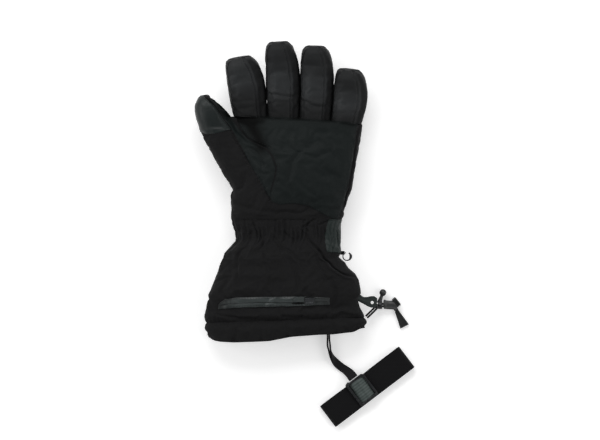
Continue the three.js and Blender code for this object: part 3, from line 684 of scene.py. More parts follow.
def lay_strand(name, sideways):
    ahead = np.gradient(drawcord_points, axis=0)
    side = np.stack([ahead[:, 1], -ahead[:, 0], 0 * ahead[:, 0]], axis=1)
    side /= np.linalg.norm(side, axis=1, keepdims=True)
    route = smooth_route(drawcord_points + side * sideways * drawcord_spacing, 40)
    strand = sweep(name + "_braid", route, round_outline(drawcord_width), size=(7 * mm, route_length(route)))
    join_glove(strand, braid, "webbing", name)
    print(name, "is", round(route_length(route) / mm, 1), "mm long")
    return strand, route


inner_strand, inner_route = lay_strand("drawcord_inner", -0.5)
outer_strand, outer_route = lay_strand("drawcord_outer", 0.5)

# %% [markdown]
# The leash's strap is a webbing of two layers. It leaves the hem on edge, with a slit of light
# between its layers, turns flat as it falls to the table, and widens into the buckle.

# %% Lay the leash strap
strap_width = 9 * mm
strap_share = 0.254
hem_side = math.radians(hem_tilt)
strap_offset = strap_share * hem_width / math.cos(hem_side)
strap_exit = glove_shift + np.array(
    [
        1.5 * mm + strap_offset * math.cos(hem_side),
        strap_offset * math.sin(hem_side) - 2 * seam_gap,
        strap_width / 2 + seam_gap,
    ]
)
strap_route = [
    [0, 0, 0],
    [0.1, -6, 0],
    [0.3, -12, 0],
    [1, -18, -0.1],
    [2.6, -24, 0.1],
    [5.4, -29.6, -0.1],
    [9.4, -34.6, -1.6],
    [14.3, -38.8, -3],
    [19.4, -42.2, -1.4],
    [24, -46, 2.8],
    [27.6, -50.6, 5.6],
]
strap_points = strap_exit + np.array(strap_route) * mm
strap_line = smooth_route(strap_points, 70)
layer_thick = 0.85 * mm
slit_from, slit_to = 0.1, 0.34
slit_width = 1 * mm


def strap_roll(share):
    return 90 * (1 - ease((share - 0.3) / 0.45))


strap_side, strap_above = frames_along(strap_line, strap_roll)


def strap_layer(name, side_sign):
    """One layer of the strap, half as thick, bowed away from the other at the slit."""
    def surface(u, v):
        k = np.round(v * (len(strap_line) - 1)).astype(int)
        bow = np.sin(np.pi * np.clip((v - slit_from) / (slit_to - slit_from), 0, 1)) ** 2
        flat = flat_outline(strap_width, layer_thick, 0.35)(u)
        widen = 1 + 0.24 * ease((v - 0.7) / 0.3)
        full = 1 + 1.2 * (1 - ease((v - 0.34) / 0.3))
        lift = side_sign * (layer_thick * 0.53 * full + slit_width / 2 * bow)
        across = strap_side[k] * (flat[:, :1] * widen[:, None])
        return strap_line[k] + across + strap_above[k] * (flat[:, 1] * full + lift)[:, None]

    rows = len(strap_line) - 1
    size = (20 * mm, route_length(strap_line))
    return cloth(name, 24, rows, surface, tube=True, close_ends=True, size=size)


def lay_strap():
    upper = strap_layer("leash_strap_webbing", 1)
    lower = strap_layer("leash_strap_lower", -1)
    make_active(upper)
    lower.select_set(True)
    bpy.ops.object.join()
    return join_glove(upper, strap_webbing, "webbing", "leash_strap")


strap = lay_strap()
print("leash strap is", round(route_length(strap_line) / mm, 1), "mm long")

# %% [markdown]
# ## Floor and light
# A plain pale floor, and soft studio light. One wide panel behind the fingertips gives the long
# highlights on the leather and throws the faint shadows towards the cuff. A second fills from the
# left, and the pale surroundings keep the floor nearly white.

# %% Floor, panels of light and surroundings
def pale_floor():
    deselect()
    bpy.ops.mesh.primitive_plane_add(size=6, location=(0, 0, -0.05 * mm))
    floor = bpy.context.object
    floor.name = "floor"
    f = Finish("pale floor", Roughness=0.7, Specular_IOR_Level=0.2, Emission_Strength=0.42)
    f.shader.inputs["Emission Color"].default_value = (1, 1, 1, 1)
    dark, light = colour(0.84, 0.84, 0.84), colour(0.86, 0.86, 0.86)
    f.feed("Base Color", f.between(f.noise(3, f.place()), dark, light))
    dress(floor, f.material)
    return settle_object(floor)


def light_panel(name, place, aim, size, power):
    bpy.ops.object.light_add(type="AREA", location=place)
    lamp = bpy.context.object
    lamp.name = name
    lamp.data.shape = "RECTANGLE"
    lamp.data.size, lamp.data.size_y = size
    lamp.data.energy = power
    lamp.rotation_euler = (Vector(aim) - Vector(place)).to_track_quat("-Z", "Y").to_euler()
    return lamp


def surroundings(strength, zenith):
    """A pale room whose ceiling is darker straight above, where the camera hangs."""
    world = bpy.data.worlds.new("studio")
    bpy.context.scene.world = world
    world.use_nodes = True
    nodes, links = world.node_tree.nodes, world.node_tree.links
    direction = nodes.new("ShaderNodeTexCoord")
    parts = nodes.new("ShaderNodeSeparateXYZ")
    height = nodes.new("ShaderNodeValToRGB")
    Finish.set_stops(height.color_ramp, [(0.0, 1.0), (0.62, 1.0), (0.9, zenith), (1.0, zenith)])
    links.new(direction.outputs["Generated"], parts.inputs[0])
    links.new(parts.outputs["Z"], height.inputs[0])
    links.new(height.outputs[0], nodes["Background"].inputs["Color"])
    nodes["Background"].inputs["Strength"].default_value = strength


pale_floor()
light_panel("window", (-0.25, 1.3, 1.35), (0, 0.02, 0), (1.5, 0.7), 17)
light_panel("fill", (-1.3, 0.1, 1.0), (0, 0, 0), (0.9, 1.1), 7)
light_panel("rim", (1.3, -0.3, 1.1), (0, 0, 0), (0.8, 0.9), 6)
surroundings(0.5, 0.3)
bpy.context.scene.view_settings.view_transform = "Standard"
print("floor and light are set")

# %% [markdown]
# ## The drawcord's fittings
# The lock, its barrel and its cap are small turned mouldings. A turned piece is a tube whose
# radius follows a profile along an axis. The lock is three turned forms that a fine remesh melts
# into one, which rounds the inner corners as a mould does.

# %% Turned pieces
def turned(name, start, towards, profile, columns=32, rows=40):
    """A form turned about an axis. profile lists (distance along, radius) pairs."""
    start, towards = np.array(start, float), np.array(towards, float)
    towards /= np.linalg.norm(towards)
    side = np.cross(towards, [0, 0, 1])
    side /= np.linalg.norm(side)
    above = np.cross(side, towards)
    along, radius = np.array(profile, float).T
    steps = np.concatenate([[0], np.cumsum(np.hypot(np.diff(along), np.diff(radius)))])

    def surface(u, v):
        at = v * steps[-1]
        reach, wide = np.interp(at, steps, along), np.interp(at, steps, radius)
        turn = 2 * np.pi * u
        out = np.cos(turn)[:, None] * side + np.sin(turn)[:, None] * above
        return start + reach[:, None] * towards + wide[:, None] * out

    return cloth(name, columns, rows, surface, tube=True, close_ends=True, size=(20 * mm, 20 * mm))


def melt(pieces, voxel, smooth):
    """Joins pieces and remeshes them into one skin."""
    make_active(pieces[0])
    for other in pieces[1:]:
        other.select_set(True)
    bpy.ops.object.join()
    apply_modifier(pieces[0], "REMESH", mode="VOXEL", voxel_size=voxel)
    apply_modifier(pieces[0], "SMOOTH", factor=0.5, iterations=smooth)
    make_active(pieces[0])
    bpy.ops.object.shade_smooth()
    return pieces[0]


def dome(radius, flat):
    """The profile of a ball, from pole to pole, pressed flat along its axis."""
    turns = np.linspace(0.02, np.pi - 0.02, 18)
    return [(radius * flat * (1 - math.cos(t)), radius * math.sin(t)) for t in turns]


# %% Lock, barrel, cap
def make_lock():
    low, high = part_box("drawcord_lock")
    radius, length = 4.4 * mm, 5 * mm
    middle = Vector((low.x, low.y + radius, low.z + radius))
    body = turned(
        "drawcord_lock_moulded",
        middle,
        (1, 0, 0),
        [(0, 2.2 * mm), (0.3 * mm, 3.7 * mm), (1 * mm, radius)]
        + [(length - 1 * mm, radius), (length, 3.8 * mm)],
    )
    lean = math.radians(20)
    upwards = Vector((math.sin(lean), math.cos(lean), 0))
    foot = middle + Vector((1.3 * mm, 2.3 * mm, 0))
    head = 3.9 * mm
    reach = (high.y - head - foot.y) / upwards.y
    stem = turned(
        "stem",
        foot,
        upwards,
        [(0, 2.7 * mm), (3 * mm, 2.5 * mm), (7 * mm, 1.9 * mm)]
        + [(reach - 2 * mm, 1.8 * mm), (reach, 2.6 * mm)],
    )
    centre = foot + upwards * reach
    button = turned("button", centre - Vector((0, 0, head * 0.8)), (0, 0.001, 1), dome(head, 0.8))
    dish = turned("dish", centre + Vector((0, 0, head * 0.62)), (0, 0.001, 1), dome(1.5 * mm, 0.7))
    knot = turned("knot", middle + Vector((-3.4, -2.2, 1)) * mm, (1, 0.4, 0), dome(3.1 * mm, 0.8))
    lock = melt([body, stem, button, dish, knot], 0.36 * mm, 2)
    return join_glove(lock, plastic, "plastic", "drawcord_lock")


def make_barrel():
    low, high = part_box("drawcord_barrel")
    radius = (high.z - low.z) / 2
    middle = Vector((low.x, (low.y + high.y) / 2, low.z + radius))
    length = high.x - low.x
    waist = 0.84 * radius
    profile = [(0, 0.5 * radius), (0.3 * mm, 0.9 * radius), (1 * mm, radius), (2.2 * mm, radius)]
    profile += [(3.2 * mm, waist), (0.45 * length, 0.78 * radius), (0.75 * length, waist)]
    profile += [(0.86 * length, 0.98 * radius), (0.97 * length, 0.96 * radius), (length, 0.6 * radius)]
    barrel = turned("drawcord_barrel_moulded", middle, (1, 0, 0), profile, rows=48)
    rib = turned("rib", middle + Vector((2 * mm, -radius * 0.72, 0)), (1, -0.05, 0), [
        (0, 0.5 * mm), (0.5 * mm, 1.6 * mm), (length - 3 * mm, 1.5 * mm), (length - 2 * mm, 0.5 * mm)
    ])
    return join_glove(melt([barrel, rib], 0.36 * mm, 3), grey_plastic, "plastic", "drawcord_barrel")


def make_cap():
    low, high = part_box("drawcord_cap")
    turn = math.radians(38)
    axis = Vector((math.cos(turn), math.sin(turn), 0))
    radius = (high.z - low.z) / 2
    length = 5 * mm
    middle = (low + high) / 2
    start = middle - axis * length / 2
    profile = [(0, 0.5 * radius), (0.05 * length, 0.86 * radius)]
    for k in range(3):
        at = length * (0.1 + 0.3 * k)
        profile += [(at, radius), (at + 0.16 * length, radius), (at + 0.19 * length, 0.8 * radius)]
        profile += [(at + 0.25 * length, 0.8 * radius)]
    profile += [(length, 0.86 * radius), (length, 0.3 * radius)]
    cap = turned("drawcord_cap_ridged", start, axis, profile, columns=36, rows=70)
    return join_glove(cap, matt_plastic, "plastic", "drawcord_cap")


lock = make_lock()
barrel = make_barrel()
cap = make_cap()
print("drawcord lock:", len(lock.data.polygons), "faces; barrel:", len(barrel.data.polygons))

# %% [markdown]
# The pull tab is a flat moulded grip that widens from its neck to a cut-off end, with a raised rim
# round a sunk face. It starts as a cube, is tapered in edit mode, and its upper face is inset
# twice. The cloth tongue above the lock is a panel between two curved edges with a punched hole.

# %% Pull tab
def select_faces(piece, test):
    """In edit mode, selects only the faces that pass the test."""
    bpy.ops.object.mode_set(mode="OBJECT")
    for edge in piece.data.edges:
        edge.select = False
    for vertex in piece.data.vertices:
        vertex.select = False
    for face in piece.data.polygons:
        face.select = bool(test(face))
    bpy.ops.object.mode_set(mode="EDIT")
    bpy.ops.mesh.select_mode(type="FACE")


def make_pull_tab():
    end = Vector(drawcord_points[-1])
    turn = math.radians(-62.7)
    length, width, neck, thick = 19.6 * mm, 10.5 * mm, 4.4 * mm, 3 * mm
    deselect()
    bpy.ops.mesh.primitive_cube_add(size=1)
    grip = bpy.context.object
    grip.name = "pull_tab_moulded"
    points = points_of(grip)
    share = points[:, 0] + 0.5
    points[:, 1] *= np.where(share > 0.5, width, neck)
    points[:, 0] = share * length
    points[:, 2] *= thick
    move_points(grip, points)
    make_active(grip)
    select_faces(grip, lambda face: abs(face.normal.z) > 0.9)
    bpy.ops.mesh.inset(thickness=1.1 * mm, use_individual=True)
    bpy.ops.mesh.inset(thickness=0.25 * mm, depth=-0.45 * mm, use_individual=True)
    bpy.ops.object.mode_set(mode="OBJECT")
    start = end + Vector((math.cos(turn), math.sin(turn), 0)) * (drawcord_width / 2 + 0.1 * mm)
    grip.data.transform(Matrix.Translation(start) @ Matrix.Rotation(turn, 4, "Z"))
    round_edges(grip, 0.5 * mm, 3)
    collar = turned(
        "collar",
        end + Vector((-0.8, 2.6, 0.4)) * mm,
        (math.cos(turn), math.sin(turn), -0.05),
        [(0, 0.9 * mm), (0.4 * mm, 1.8 * mm), (2.6 * mm, 2.1 * mm)]
        + [(4.4 * mm, 1.7 * mm), (5 * mm, 0.8 * mm)],
        20,
        16,
    )
    make_active(grip)
    collar.select_set(True)
    bpy.ops.object.join()
    return join_glove(grip, matt_plastic, "plastic", "pull_tab")


pull_tab = make_pull_tab()

# %% Cloth tongue with its eyelet
tongue_top = spots(
    [(358.5, 293.6), (360.5, 294.9), (363.5, 297), (366.9, 297)]
    + [(370.5, 296.2), (374.1, 296), (377.6, 298.4)]
)
tongue_bottom = spots(
    [(356, 300.2), (358.5, 301.4), (360.8, 302.5), (364, 304.3), (367.5, 306.4), (371.5, 308), (376.6, 307)]
)
eyelet_at = spot(372.3, 302.6)


def make_tongue():
    low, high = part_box("drawcord_tab")

    def surface(u, v):
        marks = np.linspace(0, 1, len(tongue_top))
        top, bottom = read_line(tongue_top, marks, v), read_line(tongue_bottom, marks, v)
        flat = bottom + (top - bottom) * u[:, None]
        slope = high.z - 1.4 * mm - (flat[:, 0] - low.x) * math.tan(math.radians(23))
        curl = 1.1 * mm * np.sin(np.pi * u) * (1 - v) - 0.5 * mm * np.cos(2 * np.pi * u) * v
        return np.stack([flat[:, 0], flat[:, 1], slope + curl], axis=1)

    tongue = cloth("drawcord_tongue", 14, 22, surface)
    apply_modifier(tongue, "SOLIDIFY", thickness=1 * mm, offset=0)
    apply_modifier(tongue, "SUBSURF", levels=2, render_levels=2)
    deselect()
    bpy.ops.mesh.primitive_cylinder_add(vertices=32, radius=1.7 * mm, depth=40 * mm)
    punch = bpy.context.object
    punch.location = (eyelet_at.x, eyelet_at.y, 15 * mm)
    apply_modifier(tongue, "BOOLEAN", object=punch, operation="DIFFERENCE", solver="EXACT")
    bpy.data.objects.remove(punch)
    make_active(tongue)
    bpy.ops.object.shade_smooth_by_angle(angle=math.radians(50))
    return join_glove(tongue, coated, "coated", "drawcord_tab")


tongue = make_tongue()
print("pull tab and tongue:", len(pull_tab.data.polygons), len(tongue.data.polygons), "faces")

# %% [markdown]
# ## The leash's band and buckle
# The band is one loop of wide elastic, pressed flat. Its surface runs both round its own section
# and round the loop, so the grid closes both ways. The buckle is a moulded frame whose round bars
# are swept round a rectangle, and the strap's wide end lies domed inside it.

# %% Elastic band
band_turn = math.radians(37.2)
band_axis = np.array([math.cos(band_turn), math.sin(band_turn), 0])
band_side = np.array([-band_axis[1], band_axis[0], 0])
band_low, band_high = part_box("leash_band")
band_centre = np.array([(band_low.x + band_high.x) / 2, (band_low.y + band_high.y) / 2, 0])
band_length, band_width = 110 * mm, 28.6 * mm
band_thick, band_opening = 1.6 * mm, 5.2 * mm
buckle_low, buckle_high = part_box("leash_buckle")
buckle_centre = np.array([(buckle_low.x + buckle_high.x) / 2, (buckle_low.y + buckle_high.y) / 2, 0])
buckle_along = float(np.dot(buckle_centre - band_centre, band_axis))


def make_band():
    radius = (band_opening + band_thick) / 2
    straight = band_length - 2 * radius - band_thick
    around = 2 * straight + 2 * math.pi * radius
    base = 0.3 * mm + band_thick / 2

    def surface(u, v):
        at = v * around
        on_top = at < straight
        turn_one = (at >= straight) & (at < straight + math.pi * radius)
        below = (at >= straight + math.pi * radius) & (at < 2 * straight + math.pi * radius)
        angle = np.where(turn_one, (at - straight) / radius, (at - 2 * straight - math.pi * radius) / radius)
        x = np.where(on_top, at - straight / 2, 0.0)
        x = np.where(turn_one, straight / 2 + radius * np.sin(angle), x)
        x = np.where(below, straight / 2 - (at - straight - math.pi * radius), x)
        x = np.where(~(on_top | turn_one | below), -straight / 2 - radius * np.sin(angle), x)
        z = np.where(on_top, 2 * radius, 0.0)
        z = np.where(turn_one, radius + radius * np.cos(angle), z)
        z = np.where(~(on_top | turn_one | below), radius - radius * np.cos(angle), z)
        out_x = np.where(on_top | below, 0, (x - np.sign(x) * straight / 2) / radius)
        out_z = np.where(on_top, 1, np.where(below, -1, (z - radius) / radius))
        section = flat_outline(band_width, band_thick, 0.22)(u)
        near = bell(x - buckle_along, 15 * mm)
        pinch = 1 - 0.045 * near * (section[:, 0] > 0)
        wave = 0.35 * mm * np.sin(x / (9 * mm) + section[:, 0] / (8 * mm)) * on_top * (1 - near)
        sag = -0.9 * mm * on_top * np.sin(np.pi * np.clip(v * around / straight, 0, 1)) * (1 - near)
        height = base + z + (section[:, 1] + wave) * out_z + sag
        flat = band_centre + (x + section[:, 1] * out_x)[:, None] * band_axis
        flat = flat + (section[:, 0] * pinch)[:, None] * band_side
        flat[:, 2] = np.maximum(height, 0.1 * mm)
        return flat

    size = (2 * (band_width + band_thick), around)
    band = cloth("leash_band_elastic", 56, 150, surface, tube=True, size=size)
    return join_glove(band, elastic, "webbing", "leash_band")


band = make_band()

# %% Buckle frame and satin sleeve
buckle_width, buckle_span, buckle_bar, buckle_thick = 24 * mm, 30 * mm, 2.8 * mm, 2.4 * mm
buckle_base = buckle_low.z


def buckle_outline(v):
    """Places round a rectangle with rounded corners, along and across the band."""
    half_x, half_y, corner = (buckle_width - buckle_bar) / 2, (buckle_span - buckle_bar) / 2, 2.6 * mm
    marks = []
    for sx, sy, first in ((1, -1, -90), (1, 1, 0), (-1, 1, 90), (-1, -1, 180)):
        for step in np.linspace(0, 90, 8):
            turn = math.radians(first + step)
            x = sx * (half_x - corner) + corner * math.cos(turn)
            marks.append((x, sy * (half_y - corner) + corner * math.sin(turn)))
    marks.append(marks[0])
    steps = travelled(marks)
    return read_line(marks, steps, v * steps[-1])


def make_buckle():
    def surface(u, v):
        here = buckle_outline(v % 1.0)
        ahead = buckle_outline((v + 0.002) % 1.0) - buckle_outline((v - 0.002) % 1.0)
        ahead /= np.linalg.norm(ahead, axis=1, keepdims=True)
        outward = np.stack([ahead[:, 1], -ahead[:, 0]], axis=1)
        section = flat_outline(buckle_bar, buckle_thick, 0.55)(u)
        # the bars across the band are thicker than those along it
        flat = here + outward * section[:, :1]
        lift = buckle_thick / 2 + section[:, 1] * (1 + 0.12 * np.abs(ahead[:, 1]))
        arch = 0.6 * mm * (1 - (here[:, 1] / (buckle_span / 2)) ** 2)
        place = buckle_centre + flat[:, :1] * band_axis + flat[:, 1:] * band_side
        place[:, 2] = buckle_base + lift + arch
        return place

    buckle = cloth("leash_buckle_frame", 20, 130, surface, tube=True)
    corner = buckle_centre + band_axis * (-buckle_width * 0.44) + band_side * (buckle_span * 0.42)
    hook = turned(
        "hook",
        (corner[0] - 1.5 * mm, corner[1] - 1 * mm, buckle_base + 2.2 * mm),
        (0.35, 0.75, 0.12),
        [(0, 0.5 * mm), (0.5 * mm, 1.5 * mm), (3 * mm, 1.9 * mm), (5.4 * mm, 1.4 * mm), (6 * mm, 0.4 * mm)],
        20,
        20,
    )
    melted = melt([buckle, hook], 0.4 * mm, 2)
    return join_glove(melted, plastic, "plastic", "leash_buckle")


def make_sleeve():
    half_x, half_y = 8.9 * mm, 12.2 * mm
    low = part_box("leash_sleeve")[0]

    def surface(u, v):
        x, y = (u - 0.5) * 2, (v - 0.5) * 2
        dome_height = 2.9 * mm * (1 - np.abs(x) ** 2.4)
        folds = 0.32 * mm * np.sin(x * 8.5 + 0.5 * np.sin(y * 3)) * (1 - x * x)
        tuck = -0.9 * mm * np.abs(y) ** 6
        wrinkle = 0.18 * mm * np.sin(y * 9 + x * 2.2)
        bow = 0.05 * np.sin(y * 2.2 + 0.4)
        place = buckle_centre + ((x + bow) * half_x)[:, None] * band_axis + (y * half_y)[:, None] * band_side
        place[:, 2] = low.z + 0.2 * mm + dome_height + folds + tuck + wrinkle
        return place

    sleeve = cloth("leash_sleeve_satin", 40, 50, surface, size=(18 * mm, 26 * mm))
    apply_modifier(sleeve, "SOLIDIFY", thickness=0.9 * mm, offset=-1)
    return join_glove(sleeve, satin, "satin", "leash_sleeve")


buckle = make_buckle()
sleeve = make_sleeve()
print("band, buckle and sleeve:", len(band.data.polygons), len(buckle.data.polygons), "faces")

# %% [markdown]

# %% [markdown]
# ## Folds
# Cloth shows where it is pulled. The helpers below measure how far a place lies from a drawn line,
# and press a soft valley along it with a raised lip on one side. Gathers are many short valleys
# round the wrist, each a little different, drawn by a seeded random generator.

# %% Distances to lines, and valleys along them
def line_measure(flat, line):
    """Distance to a line of points, share of the way along it, and side (plus is on its left)."""
    marks = travelled(line)
    best = np.full(len(flat), 1e9)
    share = np.zeros(len(flat))
    side = np.ones(len(flat))
    for k, length in enumerate(np.diff(marks)):
        ahead = (line[k + 1] - line[k]) / length
        reach = flat - line[k]
        at = np.clip(reach @ ahead, 0, length)
        gap = np.linalg.norm(reach - at[:, None] * ahead, axis=1)
        nearer = gap < best
        best = np.where(nearer, gap, best)
        share = np.where(nearer, (marks[k] + at) / marks[-1], share)
        side = np.where(nearer, np.sign(ahead[0] * reach[:, 1] - ahead[1] * reach[:, 0]), side)
    return best, share, side


def valley(flat, line, depth, width, lip=0.0, lip_side=1, fade=0.18):
    """Relief of a fold pressed along a line, in the length's own units."""
    gap, share, side = line_measure(flat, line)
    ends = ease(share / fade) * ease((1 - share) / fade)
    signed = gap * side * lip_side
    raised = lip * bell(signed - 1.9 * width, 1.5 * width)
    return ends * (raised - depth * bell(gap, width))


def press_folds(flat, folds):
    """Relief of all folds in a table: name, pixels, then depth, width and lip in mm, and its side."""
    total = np.zeros(len(flat))
    for _, line, depth, width, lip, lip_side in folds:
        total += valley(flat, spots(line), depth * mm, width * mm, lip * mm, lip_side)
    return total


def soft_noise(points, scale, seed):
    """A smooth repeating ripple from a few seeded waves, about -1 to 1."""
    chance = np.random.default_rng(seed)
    total = np.zeros(len(points))
    for _ in range(7):
        direction = chance.normal(size=3)
        direction *= chance.uniform(0.6, 1.5) / np.linalg.norm(direction)
        total += np.sin(points @ direction * (2 * np.pi / scale) + chance.uniform(0, 2 * np.pi))
    return total / 4


gusset_line = [(306, 232), (308, 239), (318.6, 250.5), (332.4, 264.3), (344.6, 273.5), (357, 277)]
pocket_foot = [(214, 314), (222, 315.2), (240, 317.4), (256, 317.4), (262, 316.5)]
cuff_folds = [
    ("gusset", gusset_line, 3.6, 1.4, 1.5, -1),
    ("above gusset", [(309, 233), (304.5, 227), (316, 217.1), (330, 214)], 2.6, 1.1, 0.7, 1),
    ("beside gusset", [(318, 226), (326, 221.5), (333, 219.4)], 2.0, 1.1, 0.5, 1),
    ("pocket's foot", pocket_foot, 1.6, 1.2, 0.6, 1),
    ("pocket's foot, right", [(279, 315.2), (285, 315.6), (298, 316.2), (306, 316)], 1.5, 1.2, 0.6, 1),
    ("fan 1", [(253, 229), (249, 238), (245, 246), (237, 258)], 1.5, 1.9, 0.6, 1),
    ("fan 2", [(272, 231), (274, 238), (280.3, 246), (291, 252), (300, 262)], 1.6, 1.9, 0.8, -1),
    ("fan 3", [(284, 231), (289, 237), (296, 241)], 1.2, 1.4, 0.5, 1),
    ("fan 4", [(262, 232), (263, 245), (266, 262)], 1.0, 1.8, 0.4, 1),
    ("fan 5", [(240, 228), (237, 240), (228, 252)], 1.1, 1.9, 0.5, 1),
    ("cuff middle", [(287, 254), (293, 266), (298, 280), (299, 291)], 1.1, 3.4, 0.6, 1),
    ("cuff left", [(236, 262), (228, 280), (221, 296)], 1.2, 4.6, 0.8, 1),
    ("cuff right", [(322, 268), (334, 288), (340, 306)], 1.1, 4.4, 0.7, -1),
    ("hem dent 1", [(232, 325), (236, 333), (233, 342)], 1.2, 3.0, 0.5, 1),
    ("hem dent 2", [(286, 322), (289, 331), (286, 339)], 1.2, 2.8, 0.5, 1),
    ("hem dent 3", [(334, 321), (337, 328), (335, 334)], 1.0, 2.8, 0.5, 1),
    ("hem dent 4", [(258, 323), (262, 331), (261, 341)], 0.7, 2.4, 0.3, 1),
]
print(len(cuff_folds), "folds on the cuff")

# %% [markdown]
# ## Even steps round the body
# A flattened tube that is drawn by its angle crowds its points at the sides. The table below finds
# for each place along the body the angles that lie at even steps round it.

# %% Even steps round the body
table_y = np.linspace(0, knuckles, 72)
table_u = np.linspace(0, 1, 361)
fine_turns = np.linspace(0, 2 * np.pi, 1441)


def measure_girths():
    turns, girths = [], []
    for y in table_y:
        ring = body_point(fine_turns, np.full(len(fine_turns), y))
        marks = travelled(ring)
        turns.append(np.interp(table_u, marks / marks[-1], fine_turns))
        girths.append(marks[-1])
    return np.array(turns), np.array(girths)


turn_table, girth_table = measure_girths()


def even_turn(u, y):
    row = np.clip(y / knuckles, 0, 1) * (len(table_y) - 1)
    low = np.minimum(row.astype(int), len(table_y) - 2)
    column = np.clip(u, 0, 1) * (len(table_u) - 1)
    left = np.minimum(column.astype(int), len(table_u) - 2)
    up, right = row - low, column - left
    near = turn_table[low, left] * (1 - right) + turn_table[low, left + 1] * right
    far = turn_table[low + 1, left] * (1 - right) + turn_table[low + 1, left + 1] * right
    return near * (1 - up) + far * up


print("girth at hem, wrist and knuckles:", [round(girth_table[k] / mm) for k in (0, 33, -1)], "mm")

# %% [markdown]
# ## Cuff, hem and gathers
# The softshell from hem to wrist is one tube. It gets its broad folds and its gathers, and is then
# relaxed as real cloth for a few frames, so that the folds flow into each other. Last come the
# things a relaxation would wash out: the seam lines and the creases at the needle.

# %% Relief of the cuff and the wrist
gather_count = 58
chance = np.random.default_rng(11)
gathers = [
    {
        "u": (k + chance.uniform(-0.34, 0.34)) / gather_count,
        "y": cuff_top + wrist_length * chance.uniform(0.26, 0.56),
        "reach": chance.uniform(8, 17) * mm,
        "lean": chance.uniform(-0.16, 0.16),
        "depth": chance.uniform(0.9, 2.1) * mm,
        "width": chance.uniform(0.95, 1.6) * mm,
    }
    for k in range(gather_count)
]
fans = [
    {
        "u": (k + chance.uniform(-0.4, 0.4)) / 26,
        "y": cuff_top - chance.uniform(2, 14) * mm,
        "reach": chance.uniform(12, 26) * mm,
        "lean": chance.uniform(-0.25, 0.25),
        "depth": chance.uniform(0.5, 1.4) * mm,
        "width": chance.uniform(1.8, 3.4) * mm,
    }
    for k in range(26)
]


def pleats(u, y, folds):
    """Short valleys that run along the glove, each with a soft ridge on both sides."""
    girth = np.interp(y, table_y, girth_table)
    total = np.zeros(len(u))
    for fold in folds:
        drift = (u - fold["u"] + 0.5) % 1.0 - 0.5
        gap = np.abs(drift * girth - fold["lean"] * (y - fold["y"]))
        along = bell(y - fold['y'], fold['reach'])
        ridge = 0.5 * bell(gap - 2 * fold['width'], fold['width'])
        total += along * fold["depth"] * (ridge - bell(gap, fold['width']))
    return total


def cuff_relief(points, u, y):
    """How far the cloth stands out of, or sinks into, the plain body tube."""
    palm_side = ease((points[:, 2] - 14 * mm) / (10 * mm))
    relief = 0.75 * pleats(u, y, gathers) + 0.7 * pleats(u, y, fans)
    relief += palm_side * press_folds(points[:, :2], cuff_folds)
    on_cuff = ease((y - hem_length) / (14 * mm)) * ease((cuff_top - y) / (10 * mm))
    zip_y = spot(0, 300)[1] - glove_shift[1]
    calm = 1 - palm_side * bell(y - zip_y, 9 * mm) * ease((55 * mm - points[:, 0]) / (8 * mm))
    waves = 1.3 * soft_noise(points, 62 * mm, 3) + 0.5 * soft_noise(points, 24 * mm, 4)
    relief += on_cuff * calm * waves * mm
    on_hem = ease((hem_length - y) / (5 * mm)) * ease(y / (3 * mm))
    relief += on_hem * (0.9 + 0.6 * soft_noise(points, 30 * mm, 5)) * mm
    relief -= 0.5 * mm * bell(y - hem_length, 1.5 * mm)
    pouch = palm_side * bell(y - zip_y + 13 * mm, 8 * mm) * ease((60 * mm - points[:, 0]) / (12 * mm))
    return relief + 0.6 * mm * pouch


cloth_frames = 14


def relax(piece, weights, growth, pressure=0.4, cap=2.5 * mm, bending=0.6):
    """Lets the piece settle as cloth: weights pin it, growth is spare cloth, cap limits each move."""
    before = points_of(piece).copy()
    group = piece.vertex_groups.new(name="pinned")
    for level in np.unique(np.round(weights, 1)):
        chosen = np.flatnonzero(np.round(weights, 1) == level)
        if level > 0:
            group.add([int(k) for k in chosen], float(level), "REPLACE")
    make_active(piece)
    modifier = piece.modifiers.new("cloth", "CLOTH")
    settings = modifier.settings
    settings.quality = 5
    settings.mass = 0.2
    settings.tension_stiffness = settings.compression_stiffness = 15
    settings.shear_stiffness = 5
    settings.bending_stiffness = bending
    settings.effector_weights.gravity = 0
    settings.vertex_group_mass = "pinned"
    settings.pin_stiffness = 1
    settings.shrink_min = -growth
    settings.use_pressure = pressure > 0
    settings.uniform_pressure_force = pressure
    modifier.collision_settings.use_collision = False
    modifier.point_cache.frame_start, modifier.point_cache.frame_end = 1, cloth_frames
    for step in range(1, cloth_frames + 1):
        bpy.context.scene.frame_set(step)
    make_active(piece)
    bpy.ops.object.modifier_apply(modifier=modifier.name)
    bpy.context.scene.frame_set(1)
    drift = points_of(piece) - before
    travel = np.linalg.norm(drift, axis=1, keepdims=True)
    move_points(piece, before + drift * np.minimum(1, cap / np.maximum(travel, 1e-9)))
    piece.vertex_groups.clear()
    print(piece.name, "settled, mean move", round(float(travel.mean()) / mm, 2), "mm")
    return piece


def keep_values(piece, **values):
    """Stores numbers on the vertices, so that a subdivision carries them along."""
    for name, numbers in values.items():
        attribute = piece.data.attributes.new(name, "FLOAT", "POINT")
        attribute.data.foreach_set("value", np.ascontiguousarray(numbers, np.float32))


def kept(piece, name):
    attribute = piece.data.attributes[name]
    numbers = np.empty(len(attribute.data), np.float32)
    attribute.data.foreach_get("value", numbers)
    return numbers.astype(float)


def push(piece, distance):
    """Moves each vertex along its normal."""
    move_points(piece, points_of(piece) + normals_of(piece) * distance[:, None])


def body_place(piece):
    """Each vertex's share round the body and its place along it, found from its UV map."""
    mesh = piece.data
    uv = np.empty(len(mesh.loops) * 2)
    mesh.uv_layers[0].data.foreach_get("uv", uv)
    owner = np.empty(len(mesh.loops), int)
    mesh.loops.foreach_get("vertex_index", owner)
    place = np.zeros((len(mesh.vertices), 2))
    place[owner] = uv.reshape(-1, 2)
    return place[:, 0], place[:, 1]


